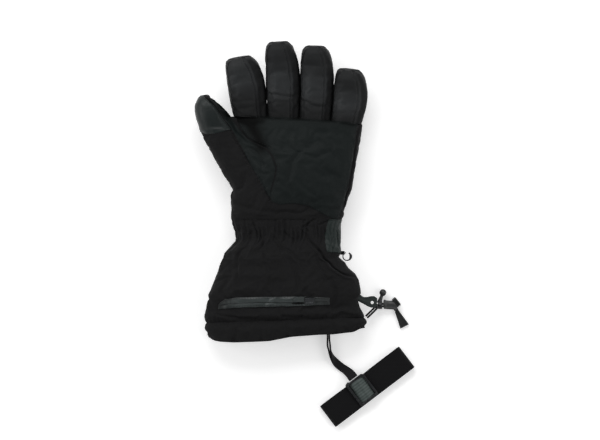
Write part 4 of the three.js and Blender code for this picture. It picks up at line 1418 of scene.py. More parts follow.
def make_cuff():
    girth = 0.4

    def surface(u, v):
        y = v * (wrist_top + 0.4 * mm)
        return body_point(even_turn(u, y), y)

    tube = cloth("cuff_cloth", 216, 92, surface, tube=True, size=(girth, wrist_top))
    u, y = body_place(tube)
    u = (u / girth) % 1.0
    keep_values(tube, around=np.cos(2 * np.pi * u), across=np.sin(2 * np.pi * u), along=y)
    push(tube, cuff_relief(points_of(tube), u, y))
    held = np.where((y < 1 * mm) | (y > wrist_top - 1.5 * mm), 1.0, 0.12)
    held = np.where(np.abs(y - hem_length) < 1 * mm, 1.0, held)
    elastic_rows = np.abs(((y - cuff_top) / (7.5 * mm)) % 1.0 - 0.5) < 0.12
    held = np.where(elastic_rows & (y > cuff_top) & (y < cuff_top + 26 * mm), 0.5, held)
    relax(tube, held, growth=0.045)
    apply_modifier(tube, "SUBSURF", levels=1, render_levels=1)
    points, y = points_of(tube), kept(tube, "along")
    turn = np.arctan2(kept(tube, "across"), kept(tube, "around"))
    u = (turn / (2 * np.pi)) % 1.0
    fine = 0.28 * pleats(u, y, gathers) + 0.12 * mm * soft_noise(points, 9 * mm, 8)
    fine -= 0.4 * mm * bell(y - hem_length, 0.7 * mm)
    puckers = bell(y - hem_length - 2.2 * mm, 3 * mm)
    fine += 0.28 * mm * puckers * np.sin(u * 2 * np.pi * 88 + 2 * np.sin(u * 60))
    push(tube, fine)
    low = points_of(tube)
    low[:, 2] = np.maximum(low[:, 2], 0.05 * mm)
    move_points(tube, low)
    return tube


cuff_cloth = make_cuff()
print("cuff cloth:", len(cuff_cloth.data.vertices), "vertices")

# %% [markdown]
# A glove that lies relaxed is never quite symmetric. Its two sides and the hem's free edge are
# drawn as lines, and the cloth is slid sideways until its outline follows them: most at the sides,
# not at all in the middle. The same slide then serves the lining and the rolled edge.

# %% Lines of the outline
left_side = spots(
    [(198.8, 98.5), (196.3, 105.5), (196.3, 112.5), (197.5, 119.5), (199.7, 126.5), (201.6, 133.5)]
    + [(204.1, 140.5), (208.5, 147.5), (215.9, 161.5), (223.6, 175.5), (228.2, 182.5), (231.8, 189.5)]
    + [(231, 196.5), (231.5, 210.5), (231.3, 217.5), (232.2, 224.5), (235.1, 231.5), (235.4, 238.5)]
    + [(230.7, 245.5), (224.6, 252.5), (222, 259.5), (219.2, 266.5), (214.2, 280.5), (208.9, 294.5)]
    + [(207.6, 301.5), (205.7, 308.5), (204.8, 315.5), (204.9, 322.5), (205.2, 329.5), (207.1, 336.5)]
)
right_side = spots(
    [(365.5, 112.5), (364, 119.5), (362, 126.5), (361.1, 133.5), (360.4, 140.5), (358.8, 147.5)]
    + [(356.2, 161.5), (353.7, 175.5), (351.8, 189.5), (348.9, 196.5), (344.8, 210.5), (343, 217.5)]
    + [(339.5, 224.5), (339.7, 231.5), (339.7, 245.5), (340.6, 258), (346, 262), (349, 267.3)]
    + [(355.6, 273.5), (358.9, 280.5), (360.1, 287.5), (360.8, 293.5), (356.6, 299.5), (356.4, 302)]
    + [(361, 309), (364.8, 317.9), (366.4, 321), (366.5, 325.8), (364.5, 328.5)]
)
hem_edge = spots(
    [(206.5, 335.7), (213.5, 340.8), (220.5, 342), (234.5, 342.6), (255.5, 341.8), (269.5, 341.1)]
    + [(283.5, 338.4), (290.5, 337), (304.5, 335.9), (318.5, 334.8), (332.5, 334.5), (346.5, 333)]
    + [(353.5, 332.2), (360.5, 328.6)]
)


def smoothed(row):
    return np.convolve(np.pad(row, 1, "edge"), [0.25, 0.5, 0.25], "valid")


def slide_to(points, left, right, most=5 * mm):
    """A function that slides points sideways as the given ones must move to meet both lines."""
    at = np.arange(points[:, 1].min() + 1 * mm, points[:, 1].max() - 1 * mm, 2 * mm)
    rows = [points[np.abs(points[:, 1] - y) < 2.2 * mm, 0] for y in at]
    low, high = smoothed([row.min() for row in rows]), smoothed([row.max() for row in rows])
    steps = []
    for line, now, spare in ((left, low, -0.5 * mm), (right, high, 0.5 * mm)):
        order = np.argsort(line[:, 1])
        goal = np.interp(at, line[order, 1], line[order, 0]) + spare
        inside = ease((at - line[:, 1].min()) / (4 * mm) + 1) * ease((line[:, 1].max() - at) / (4 * mm) + 1)
        steps.append(np.clip(goal - now, -most, most) * inside)
    print("sides move by up to", [round(float(np.abs(step).max()) / mm, 1) for step in steps], "mm")

    def slide(places):
        y = places[:, 1]
        lows, highs = np.interp(y, at, low), np.interp(y, at, high)
        reach = (2 * places[:, 0] - lows - highs) / (highs - lows)
        shift = np.interp(y, at, steps[0]) * ease(-reach) + np.interp(y, at, steps[1]) * ease(reach)
        return places + np.outer(shift, [1, 0, 0])

    return slide


def hem_to(points, line, depth=16 * mm, most=5 * mm):
    """The same for the hem's free edge, along the glove."""
    at = np.arange(points[:, 0].min() + 3 * mm, points[:, 0].max() - 3 * mm, 3 * mm)
    low = smoothed([points[np.abs(points[:, 0] - x) < 3 * mm, 1].min() for x in at])
    step = np.clip(np.interp(at, line[:, 0], line[:, 1]) + 1.7 * mm - low, -most, most)
    print("the hem's edge moves by up to", round(float(np.abs(step).max()) / mm, 1), "mm")

    def slide(places):
        near = 1 - ease((places[:, 1] - np.interp(places[:, 0], at, low)) / depth)
        return places + np.outer(np.interp(places[:, 0], at, step) * near, [0, 1, 0])

    return slide


# %% Slide the cuff
slide_sides = slide_to(points_of(cuff_cloth), left_side, right_side)
move_points(cuff_cloth, slide_sides(points_of(cuff_cloth)))
rim = points_of(cuff_cloth)
slide_hem = hem_to(rim, hem_edge)
move_points(cuff_cloth, slide_hem(rim))

# %% [markdown]
# The tube is one cloth, but hem, cuff and gathers are sub-parts of their own. The faces are sorted
# by their place along the glove and parted, so each piece stands for its own node. A fleece lining
# follows the same body a wall further in, and shows where one looks into the cuff.

# %% Part the tube, and line it
def part_by(piece, numbers, names):
    """Parts a mesh by a number for each face, from 0 up, and names what comes off."""
    mesh = piece.data
    mesh.materials.clear()
    for name in names:
        mesh.materials.append(bpy.data.materials.new(name))
    mesh.polygons.foreach_set("material_index", numbers.astype(np.int32))
    known = [piece.data.materials[k].name for k in range(len(names))]
    make_active(piece)
    bpy.ops.object.mode_set(mode="EDIT")
    bpy.ops.mesh.separate(type="MATERIAL")
    bpy.ops.object.mode_set(mode="OBJECT")
    parts = {}
    for part in list(bpy.context.selected_objects):
        index = part.data.polygons[0].material_index
        label = part.data.materials[min(index, len(part.data.materials) - 1)].name
        name = names[known.index(label)]
        part.name = name
        part.data.polygons.foreach_set("material_index", np.zeros(len(part.data.polygons), np.int32))
        parts[name] = part
    return [parts[name] for name in names]


def part_cuff(tube):
    along = kept(tube, "along")
    level = np.array([along[list(face.vertices)].mean() for face in tube.data.polygons])
    numbers = (level > hem_length).astype(int) + (level > cuff_top).astype(int)
    return part_by(tube, numbers, ["hem_cloth", "cuff_softshell", "gathered_wrist"])


def make_lining():
    def surface(u, v):
        y = v * (knuckles - 12 * mm) + 0.5 * mm
        inset = 3.2 * mm + 0.9 * mm * ease(v * 20)
        place = body_point(even_turn(u, y), y, inset)
        return place + np.stack([0 * u, 0 * u, 0.3 * mm * np.sin(u * 120) * np.sin(v * 90)], axis=1)

    lining = cloth("fleece_lining", 150, 110, surface, tube=True)
    move_points(lining, slide_hem(slide_sides(points_of(lining))))
    return join_glove(lining, fleece, "softshell")


def make_mouth():
    """The rolled edge that joins the hem's outside to the lining."""
    def surface(u, v):
        turn = even_turn(u, 0 * u)
        roll = np.pi * v
        inset = 1.9 * mm * (1 - np.cos(roll)) - 0.2 * mm
        place = body_point(turn, 0.4 * mm - 1.7 * mm * np.sin(roll), inset)
        place[:, 2] = np.maximum(place[:, 2], 0.1 * mm)
        return place

    mouth = cloth("rolled_edge", 180, 8, surface, tube=True)
    move_points(mouth, slide_hem(slide_sides(points_of(mouth))))
    return join_glove(mouth, softshell, "softshell")


hem, cuff, gathered = part_cuff(cuff_cloth)
join_glove(hem, softshell, "softshell", "cuff_hem")
join_glove(cuff, softshell, "softshell", "cuff")
join_glove(gathered, softshell, "softshell", "wrist_gathers")
make_lining()
make_mouth()
print("hem, cuff and gathers:", [len(part.data.polygons) for part in (hem, cuff, gathered)], "faces")

# %% [markdown]
# ## Hand and thumb
# Hand and thumb are sewn from flat cuts, but they read as one padded form. Two closed tubes, the
# hand and the thumb, are joined and remeshed in small voxels into one skin, which is smoothed so
# that the crotch between them becomes a soft hollow, and then blown up a little as cloth.

# %% The thumb's stall
thumb_length, thumb_width, thumb_depth = 100 * mm, 44 * mm, 36 * mm
thumb_lean = math.radians(28.9)
thumb_rise = 8 * mm
thumb_root = np.array([-43 * mm, wrist_top + 44 * mm, 22 * mm]) + glove_shift
thumb_axis = np.array([-math.sin(thumb_lean), math.cos(thumb_lean), 0])
# share of the length, width, depth, rise
thumb_rows = np.array(
    [
        [-0.16, 1.02, 0.94, 0],
        [0.08, 1.08, 1, 0],
        [0.35, 1, 1, 0.1],
        [0.62, 0.83, 0.93, 0.35],
        [0.8, 0.67, 0.84, 0.65],
        [0.92, 0.48, 0.7, 0.88],
        [0.98, 0.3, 0.46, 0.98],
        [1, 0.15, 0.24, 1],
    ]
)


def stall_frame(rows, root, axis, length, rise, s):
    """Centre, direction up, and the table's row at shares of a stall's length."""
    row = read_table(rows, s)
    slope = (read_table(rows, s + 0.02)[..., -1] - read_table(rows, s - 0.02)[..., -1]) / 0.04
    climb = np.arctan2(slope * rise, length)
    centre = root + np.multiply.outer(s * length, axis)
    centre[..., 2] += row[..., -1] * rise
    back = -np.sin(climb)[..., None] * axis
    return centre, back + np.cos(climb)[..., None] * np.array([0, 0, 1]), row


def thumb_point(turn, s):
    """Points of the thumb: turn 0 is the palm's side, a quarter turn faces up."""
    centre, up, row = stall_frame(thumb_rows, thumb_root, thumb_axis, thumb_length, thumb_rise, s)
    side = np.cross(thumb_axis, [0, 0, 1])
    x, z = rounded(turn, 2 / squareness)
    x, z = x * row[:, 1] * thumb_width / 2, z * row[:, 2] * thumb_depth / 2
    return centre + x[:, None] * side + z[:, None] * up


def thumb_surface(u, v):
    return thumb_point(2 * np.pi * u, thumb_rows[0, 0] + v * (1 - thumb_rows[0, 0]))


# %% Lines of the hand's seams
thumb_seam = spots(
    [(206, 98.5), (215, 106), (225.8, 121.8), (232, 130), (240, 145)]
    + [(247.2, 160), (256.4, 175.4), (263.5, 188), (270.2, 200)]
)
patch_left = spots(
    [(237, 121), (241.5, 130), (248, 138), (256.4, 143.6), (267, 148.6), (273.6, 157.5)]
    + [(277, 168), (275.5, 178.5), (271.7, 189.2), (270.2, 196), (271.5, 202)]
)
patch_right = spots(
    [(358.5, 121), (356.6, 130), (355.2, 140), (352.6, 160)]
    + [(349, 180), (344.4, 200), (341, 212), (338.6, 221)]
)
patch_foot = spots(
    [(271.5, 202), (279.5, 205), (293, 203.7), (307, 206), (317.8, 212), (328, 217), (340, 221)]
)
thumb_edge = spots([(211.1, 98.5), (217.9, 104.5), (224.7, 110.5), (230.1, 116.5), (234.6, 122)])
outer_seam = [(360, 119), (357.6, 130), (353.6, 160), (350, 180), (345.4, 200), (341, 217)]
hand_folds = [
    ("outer seam", outer_seam, 2.2, 0.9, 0.4, 1),
    ("web", [(231, 116), (240, 131), (250, 141), (262, 146), (271, 150)], 2.6, 2.2, 0.6, 1),
    ("thumb pucker 1", [(246, 146), (256, 152), (262, 162), (262, 172)], 1.7, 2.0, 1.0, 1),
    ("thumb pucker 2", [(241, 139), (246, 150), (251, 163), (258, 176)], 1.2, 1.8, 0.8, 1),
    ("thumb pucker 3", [(252, 157), (259, 163), (268, 166)], 1.2, 1.6, 0.6, 1),
    ("thumb pucker 4", [(254, 168), (262, 174), (270, 175)], 0.9, 1.6, 0.5, 1),
    ("palm crease", [(300, 150), (292, 165), (289, 182), (294, 198)], 0.7, 4.0, 0.4, 1),
    ("index root", [(240, 122), (252, 126), (268, 122)], 1.0, 2.0, 0.3, 1),
    ("heel", [(240, 206), (262, 211), (286, 212), (305, 214)], 0.6, 3.0, 0.4, 1),
]


# %% One skin for hand and thumb
def make_hand():
    def surface(u, v):
        y = wrist_top - 4 * mm + v * (knuckles - wrist_top + 4.3 * mm)
        return body_point(even_turn(u, y), y)

    skin = cloth("hand_softshell", 120, 50, surface, tube=True, close_ends=True)
    stall = cloth("thumb_stall", 60, 60, thumb_surface, tube=True, close_ends=True)
    make_active(skin)
    stall.select_set(True)
    bpy.ops.object.join()
    apply_modifier(skin, "REMESH", mode="VOXEL", voxel_size=2.1 * mm)
    apply_modifier(skin, "SMOOTH", factor=0.5, iterations=5)
    make_active(skin)
    select_faces(skin, lambda face: face.normal.y < -0.8 and face.center.y < glove_shift[1] + wrist_top)
    bpy.ops.mesh.delete(type="FACE")
    bpy.ops.object.mode_set(mode="OBJECT")
    points = points_of(skin)
    palm_side = ease((points[:, 2] - 16 * mm) / (8 * mm))
    past_wrist = ease((points[:, 1] + 25 * mm) / (10 * mm))
    relief = 0.5 * mm + 0.7 * mm * soft_noise(points, 48 * mm, 21) * past_wrist
    relief += palm_side * press_folds(points[:, :2], hand_folds)
    push(skin, relief)
    points = points_of(skin)
    along = points[:, 1] - glove_shift[1]
    edge = (along < wrist_top + 1 * mm) | (along > knuckles - 9 * mm)
    seam = np.minimum(line_measure(points[:, :2], thumb_seam)[0], line_measure(points[:, :2], patch_left)[0])
    held = np.where(edge, 1.0, np.where((seam < 2 * mm) & (points[:, 2] > 18 * mm), 0.6, 0.1))
    relax(skin, held, growth=0.035, pressure=1.0, cap=2.4 * mm)
    apply_modifier(skin, "SUBSURF", levels=1, render_levels=1)
    points = points_of(skin)
    above = ease((points[:, 2] - 16 * mm) / (8 * mm))
    gap, share, _ = line_measure(points[:, :2], thumb_seam)
    groove = 0.35 * mm * bell(gap - 2.3 * mm, 1.3 * mm)
    groove -= 1.1 * mm * bell(gap, 0.9 * mm)
    pucker = 0.3 * mm * bell(gap, 4 * mm) * np.sin(share * 150 + 3 * np.sin(share * 23))
    fine = above * (groove + pucker) + 0.1 * mm * soft_noise(points, 8 * mm, 25)
    push(skin, fine)
    low = points_of(skin)
    low = slide_to(low, left_side, right_side)(low)
    web = spot(239, 124)
    zone = low[(low[:, 0] < web.x) & (low[:, 1] > web.y)]
    near = ease((low[:, 1] - web.y) / (4 * mm)) * ease((web.x - low[:, 0]) / (4 * mm))
    low += (slide_to(zone, left_side, thumb_edge, 8 * mm)(low) - low) * near[:, None]
    low[:, 2] = np.maximum(low[:, 2], 0.05 * mm)
    move_points(skin, low)
    return join_glove(skin, softshell, "softshell", "hand_shell", "thumb")


hand = make_hand()
print("hand and thumb:", len(hand.data.vertices), "vertices")

# %% [markdown]
# ## Fingers
# A ski glove's finger is boxed: a strip runs up the palm side, over the tip and down the back, and
# two flat panels close the sides. So each finger starts as a cube, because a cube's edges are where
# the seams go. It is cut into fine squares, laid on the curled finger, and relaxed as cloth with
# its seams pinned, which leaves every panel softly padded between them.

# %% Finger sizes and the cut cube
finger_gap = 0.1 * mm
finger_root_depth = 35 * mm
finger_length = 86 * mm
squareness_finger = 3.2
# name, share of the palm's width, share of the finger's length, lean, climb, swell to the right
fingers = [
    ("index", 0.269, 0.765, 9.9, 0.198, 0.06),
    ("middle", 0.248, 0.975, 2.7, 0.256, 0.06),
    ("ring", 0.245, 0.945, -0.9, 0.244, 0.07),
    ("little", 0.238, 0.675, -4.6, 0.174, 0.17),
]
# share of the length, width, shift to the right, depth, climb
finger_rows = np.array(
    [
        [0, 1, 0, 1, 0],
        [0.2, 1.015, 0.015, 0.98, 0.02],
        [0.42, 1.035, 0.035, 0.94, 0.12],
        [0.64, 1.02, 0.03, 0.88, 0.36],
        [0.8, 0.96, 0, 0.8, 0.62],
        [0.91, 0.86, -0.06, 0.71, 0.82],
        [0.97, 0.7, -0.1, 0.54, 0.94],
        [1, 0.44, -0.1, 0.26, 1],
    ]
)
# where the four seams run round a finger, in half turns from its right side
seam_left, seam_right, seam_back_right, seam_back_left = 0.81, 0.41, -0.14, -0.86
# share of the length at which each palm strip's painted highlight is brightest
light_at = {"index": 0.72, "middle": 0.52, "ring": 0.5, "little": 0.42}
# creases across the palm side: share of the length at the left and right edge, depth
finger_creases = {
    "index": [(0.33, 0.28, 0.5)],
    "middle": [(0.38, 0.31, 1.5), (0.22, 0.25, 0.9)],
    "ring": [(0.31, 0.2, 1.5), (0.12, 0.1, 0.4)],
    "little": [(0.18, 0.22, 0.6)],
}


def cut_cube(name, cuts):
    """A cube from -1 to 1, cut into cuts[k] + 1 strips along axis k."""
    deselect()
    bpy.ops.mesh.primitive_cube_add(size=2)
    piece = bpy.context.object
    piece.name = name
    for axis in (1, 0, 2):
        bpy.ops.object.mode_set(mode="EDIT")
        bpy.ops.mesh.select_mode(type="EDGE")
        bpy.ops.mesh.select_all(action="DESELECT")
        bpy.ops.object.mode_set(mode="OBJECT")
        points = points_of(piece)
        for edge in piece.data.edges:
            ends = points[edge.vertices[0]] - points[edge.vertices[1]]
            edge.select = bool(abs(ends[axis]) > 1e-6)
        bpy.ops.object.mode_set(mode="EDIT")
        bpy.ops.mesh.subdivide(number_cuts=cuts[axis])
        bpy.ops.object.mode_set(mode="OBJECT")
    return piece


def finger_turn(a, c):
    """The turn round the finger of a place on the cube's section, and how far out it lies."""
    out = np.maximum(np.maximum(np.abs(a), np.abs(c)), 1e-9)
    across, up = a / out, c / out
    turn = seam_left + (seam_right - seam_left) * (across + 1) / 2
    right = (np.abs(across) > np.abs(up)) & (across > 0)
    turn = np.where(right, seam_right + (seam_back_right - seam_right) * (1 - up) / 2, turn)
    back = (np.abs(up) >= np.abs(across)) & (up < 0)
    turn = np.where(back, seam_back_right + (seam_back_left - seam_back_right) * (1 - across) / 2, turn)
    left = (np.abs(across) > np.abs(up)) & (across < 0)
    turn = np.where(left, seam_back_left + (seam_left - 2 - seam_back_left) * (up + 1) / 2, turn)
    return turn * math.pi, out


def make_finger(number, name, share, long, lean, climb, swell, root_share):
    length, rise = long * finger_length, climb * finger_length
    stall = cut_cube(f"{name}_finger_leather", (15, round(length / (2.1 * mm)), 13))
    select_faces(stall, lambda face: face.normal.y < -0.9)
    bpy.ops.mesh.delete(type="FACE")
    bpy.ops.object.mode_set(mode="OBJECT")
    tilt, lean = math.radians(knuckle_tilt), math.radians(lean)
    knuckle_side = np.array([math.cos(tilt), math.sin(tilt), 0])
    root = np.array([hand_shift, knuckles + seam_gap, (knuckle_depth + 1 * mm) / 2]) + glove_shift
    root = root + knuckle_side * root_share * palm_width
    axis = np.array([-math.sin(lean), math.cos(lean), 0])
    across_axis = np.cross(axis, [0, 0, 1])
    a, b, c = points_of(stall).T
    s = (b + 1) / 2
    centre, up, row = stall_frame(finger_rows, root, axis, length, rise, s)
    turn = ease(s / 0.3)[:, None]
    side = knuckle_side * (1 - turn) + across_axis * turn
    width = share * palm_width - finger_gap
    bulge = swell * np.sin(np.pi * s)
    half_width = (row[:, 1] + bulge / 2) * width / 2
    shift = (row[:, 2] + bulge / 2) * width / 2
    half_depth = row[:, 3] * finger_root_depth / 2
    round_turn, out = finger_turn(a, c)
    x, z = rounded(round_turn, 2 / squareness_finger)
    x, z = x * out, z * out
    z = np.where(z > 0, z * (1 - 0.26 * ease((x - 0.38) / 0.35) * z), z)
    nose = (b > 0.999) * (1 - out * out)
    place = centre + (x * half_width + shift)[:, None] * side + (z * half_depth)[:, None] * up
    place = place + (nose * 0.6 * mm)[:, None] * axis
    on_seam = (np.abs(a) > 0.999) & ((np.abs(c) > 0.999) | (b > 0.999))
    on_side = np.abs(a) > 0.999
    side_seam = np.minimum((1 - np.abs(c)) * half_depth, (1 - b) * length / 2)
    seam = np.where(on_side, side_seam, (1 - np.abs(a)) * half_width * 0.8)
    keep_values(stall, seam=seam, across=a, along=b, up=c)
    move_points(stall, place)
    held = np.where(on_seam | (b < -0.98), 1.0, 0.08)
    relax(stall, held, growth=0.012, pressure=1.6, cap=1.2 * mm, bending=4)
    apply_modifier(stall, "SUBSURF", levels=1, render_levels=1)
    a, b, c, seam = (kept(stall, key) for key in ("across", "along", "up", "seam"))
    points = points_of(stall)
    relief = 0.3 * mm * bell(seam - 2.2 * mm, 1.2 * mm)
    relief -= 0.75 * mm * bell(seam, 1 * mm)
    relief += 0.22 * mm * bell(seam, 4 * mm) * soft_noise(points, 6.5 * mm, 40 + number)
    relief += 0.3 * mm * soft_noise(points, 30 * mm, 50 + number)
    front = ease((c - 0.5) / 0.4)
    for left, right, depth in finger_creases[name]:
        at = left + (right - left) * (a + 1) / 2 + 0.012 * np.sin(a * 5 + number)
        gap = ((b + 1) / 2 - at) * length
        line = 0.45 * bell(gap - 3.2 * mm, 2.6 * mm) - bell(gap, 2.2 * mm)
        relief += front * depth * mm * 0.6 * line
    push(stall, relief)
    s = (b + 1) / 2
    # Painted light and shade: the palm strip is painted lighter around light_at and towards the tip, and the
    # finger's base, sides and back are painted dark.
    middle = bell(s - light_at[name], 0.26) * (1 - 0.35 * np.abs(a))
    keep_values(stall, tone=0.03 + 0.12 * s + ease((c - 0.6) / 0.3) * (0.1 * s + 0.7 * middle))
    return stall


def part_finger(stall, name):
    """Parts the strip on the palm side, up to the tip's edge, from the rest of the stall."""
    up, across = kept(stall, "up"), kept(stall, "across")
    numbers = []
    for face in stall.data.polygons:
        corners = list(face.vertices)
        front = up[corners].mean() > 0.965 and np.abs(across[corners]).max() < 1.0001
        numbers.append(int(front))
    return part_by(stall, np.array(numbers), [f"{name}_stall", f"{name}_strip"])


taken = -0.5
finger_pieces = []
for number, (name, share, *shape) in enumerate(fingers):
    stall = make_finger(number, name, share, *shape, taken + share / 2)
    taken += share
    body, strip = part_finger(stall, name)
    join_glove(body, finger_leather, "leather_soft", f"{name}_finger")
    join_glove(strip, finger_leather, "leather_soft", f"{name}_palm_strip")
    finger_pieces += [body, strip]
print("finger pieces:", {piece.name: len(piece.data.polygons) for piece in finger_pieces})

# %% [markdown]
# ## Leather panels on the hand
# The leathers lie on the padded hand, so each panel is a grid between its seams, dropped onto the
# skin from above. Its edges dip into the seam, a stitched groove runs just inside them, and the
# panel is given its leather's thickness last.

# %% Drop a panel onto the skin
def skin_tree(*pieces):
    """A search tree over the faces of one or more pieces."""
    vertices, faces = [], []
    for piece in pieces:
        first = len(vertices)
        vertices += [vertex.co.copy() for vertex in piece.data.vertices]
        faces += [[first + k for k in face.vertices] for face in piece.data.polygons]
    return BVHTree.FromPolygons(vertices, faces)


def drop(tree, flat, from_height=0.09):
    """Points on the skin under places given in X and Y."""
    landed = np.zeros((len(flat), 3))
    last = 0.03
    for k, (x, y) in enumerate(flat):
        place, _, _, _ = tree.ray_cast(Vector((x, y, from_height)), Vector((0, 0, -1)))
        if place is not None:
            last = place.z
        landed[k] = (x, y, last)
    return landed


def edge_at(line, axis, at):
    """The other coordinate of a drawn line, where its first one is given by at."""
    order = np.argsort(line[:, axis])
    return np.interp(at, line[order, axis], line[order, 1 - axis])


def leather_panel(
    name, surface, columns, rows, lift=0.7 * mm, crown=0.0, thick=0.9 * mm, tuck=0.35 * mm, open_head=False
):
    """A panel laid on surface(u, v), with its edges tucked in and a stitched groove inside them."""
    panel = cloth(name, columns, rows, surface)
    mesh = panel.data
    uv = np.zeros((len(mesh.vertices), 2))
    for loop, texture in zip(mesh.loops, mesh.uv_layers[0].data):
        uv[loop.vertex_index] = texture.uv
    points = points_of(panel)
    width = np.ptp(points[:, 0])
    length = np.ptp(points[:, 1])
    across, along = (np.minimum(uv[:, k], 1 - uv[:, k]) for k in range(2))
    head_fade = 0 * across
    if open_head:
        along = uv[:, 1]
        head_fade = ease((uv[:, 1] - 0.94) / 0.06)
    to_edge = np.minimum(across * width, along * length)
    if np.mean(normals_of(panel)[:, 2]) < 0:
        edit_all(panel, bpy.ops.mesh.flip_normals)
    apply_modifier(panel, "SMOOTH", factor=0.4, iterations=2)
    inside = ease(to_edge / (1.1 * mm))
    rise = lift * inside * (1 - 1.5 * head_fade) - tuck * (1 - inside)
    groove = -0.28 * mm * bell(to_edge - 2.4 * mm, 0.55 * mm)
    swell = crown * (4 * uv[:, 0] * (1 - uv[:, 0])) * (4 * uv[:, 1] * (1 - uv[:, 1])) ** 0.5
    pucker = 0.16 * mm * bell(to_edge, 3.5 * mm) * soft_noise(points, 7 * mm, 31)
    push(panel, rise + groove + swell + pucker)
    apply_modifier(panel, "SOLIDIFY", thickness=thick, offset=-1)
    make_active(panel)
    bpy.ops.object.shade_smooth()
    return panel


def between_lines(tree, left, right, foot, head):
    """Places between a left and a right line, from the foot's line to the head's."""
    def surface(u, v):
        bottom, top = foot(u), head(u)
        y = bottom + (top - bottom) * v
        x_left, x_right = left(y), right(y)
        return drop(tree, np.stack([x_left + (x_right - x_left) * u, y], axis=1))

    return surface


def nearest(tree, points):
    """The skin's points that lie nearest to the given ones."""
    return np.array([tree.find_nearest(Vector(point))[0] for point in points])


def shade_web(panel):
    """Paints shade onto a panel in the hollow between the thumb and the index finger, and along the finger
    roots just below the knuckles.
    """
    flat = points_of(panel)[:, :2]
    gap, _, _ = line_measure(flat, spots([(238, 111), (249, 122), (257, 136), (262, 147)]))
    foot, _, _ = line_measure(flat, spots([(232, 117), (240, 120), (262, 121)]))
    # Painted shade: darker near the web's two lines and within 9 mm below the knuckles.
    painted_shade = bell(gap, 7.5 * mm) + 0.7 * bell(foot, 5 * mm)
    below_knuckles = (knuckle_edge(flat[:, 0]) - flat[:, 1]) / (9 * mm)
    keep_values(panel, tone=(1 - np.minimum(painted_shade, 1)) * (0.35 + 0.65 * ease(below_knuckles)))


hand_tree = skin_tree(hand)
root_y = glove_shift[1] + knuckles


def knuckle_edge(x):
    middle = hand_shift + glove_shift[0]
    return root_y + (x - middle) * math.tan(math.radians(knuckle_tilt)) + 4 * mm


def patch_foot_y(u):
    x = patch_foot[0, 0] + (patch_foot[-1, 0] - patch_foot[0, 0]) * u
    return np.interp(x, patch_foot[:, 0], patch_foot[:, 1])


def patch_head_y(u):
    x = patch_left[0, 0] + (patch_right[0, 0] - patch_left[0, 0]) * u
    return knuckle_edge(x)


def palm_left_x(y):
    return edge_at(patch_left, 1, y)


def palm_right_x(y):
    return edge_at(patch_right, 1, y)


palm_tree = skin_tree(hand, *finger_pieces)
palm_surface = between_lines(palm_tree, palm_left_x, palm_right_x, patch_foot_y, patch_head_y)
palm = leather_panel("palm_leather", palm_surface, 120, 120, crown=0.6 * mm, open_head=True)
shade_web(palm)
join_glove(palm, palm_leather, "leather_black", "palm_patch")

# %% The gusset between thumb and palm
gusset_right = spots(
    [(210.8, 97.5), (215.6, 101.2), (222, 106.5), (229.5, 114.5), (234.5, 122.5)]
    + [(240.5, 130.5), (247, 138.4), (255.6, 144.3), (266.4, 149.3), (272.9, 157.8)]
    + [(276.2, 168), (274.8, 178.3), (271.1, 189), (270.6, 197)]
)
gusset_foot, gusset_head = spot(0, 197.5)[1], spot(0, 98.3)[1]


def gusset_left_x(y):
    return edge_at(thumb_seam, 1, y) + 0.3 * mm


def gusset_right_x(y):
    return np.maximum(edge_at(gusset_right, 1, y), gusset_left_x(y) + 0.2 * mm)


gusset_surface = between_lines(
    hand_tree, gusset_left_x, gusset_right_x, lambda u: gusset_foot + 0 * u, lambda u: gusset_head + 0 * u
)
gusset = leather_panel("thumb_gusset", gusset_surface, 26, 110, lift=0.5 * mm)
shade_web(gusset)
join_glove(gusset, palm_leather, "leather_black")
print("palm and gusset:", len(palm.data.polygons), len(gusset.data.polygons), "faces")

# %% [markdown]
# The thumb's tip wears leather from the thumb seam round its outer side. The panel is laid in the
# thumb's own turns and lengths: its lower edge slants, and its right edge follows the thumb seam.

# %% Leather on the thumb's tip
tip_low_left, tip_low_right = 0.7, 0.53
tip_outer_turn = 1.12 * math.pi
thumb_side = np.cross(thumb_axis, [0, 0, 1])


def seam_turn(s):
    """The turn at which the thumb seam passes over the thumb, at shares of its length."""
    reach = thumb_seam - thumb_root[:2]
    along, across = reach @ thumb_axis[:2] / thumb_length, reach @ thumb_side[:2]
    order = np.argsort(along)
    half = read_table(thumb_rows, s)[..., 1] * thumb_width / 2
    share = np.clip(np.interp(s, along[order], across[order]) / half, -0.95, 0.95)
    return np.arccos(np.sign(share) * np.abs(share) ** (squareness / 2))


def tip_surface(u, v):
    low = tip_low_left + (tip_low_right - tip_low_left) * u
    s = low + (1.03 - low) * v
    right = seam_turn(np.minimum(s, 0.97))
    turn = tip_outer_turn + (right - tip_outer_turn) * u
    place = thumb_point(turn, np.minimum(s, 1))
    middle = thumb_root + np.minimum(s, 1)[:, None] * thumb_length * thumb_axis
    middle[:, 2] = place[:, 2]
    shrink = np.clip((1.04 - s) / 0.04, 0.1, 1)[:, None]
    return nearest(hand_tree, middle + (place - middle) * shrink)


thumb_tip = leather_panel("thumb_tip_leather", tip_surface, 40, 44, lift=0.8 * mm, crown=0.5 * mm)
join_glove(thumb_tip, thumb_leather, "leather_soft", "thumb_tip_panel")
print("thumb tip:", len(thumb_tip.data.polygons), "faces")

# %% [markdown]
# ## Zip
# The pocket's zip is a coated band of two tapes, sewn on at the edges, with a slot between them.
# Each tape is a long grid dropped onto the cuff between two drawn lines. The tapes almost touch,
# and a dark sheet under the puller is its painted shadow. The slider and its puller are plain and bare.

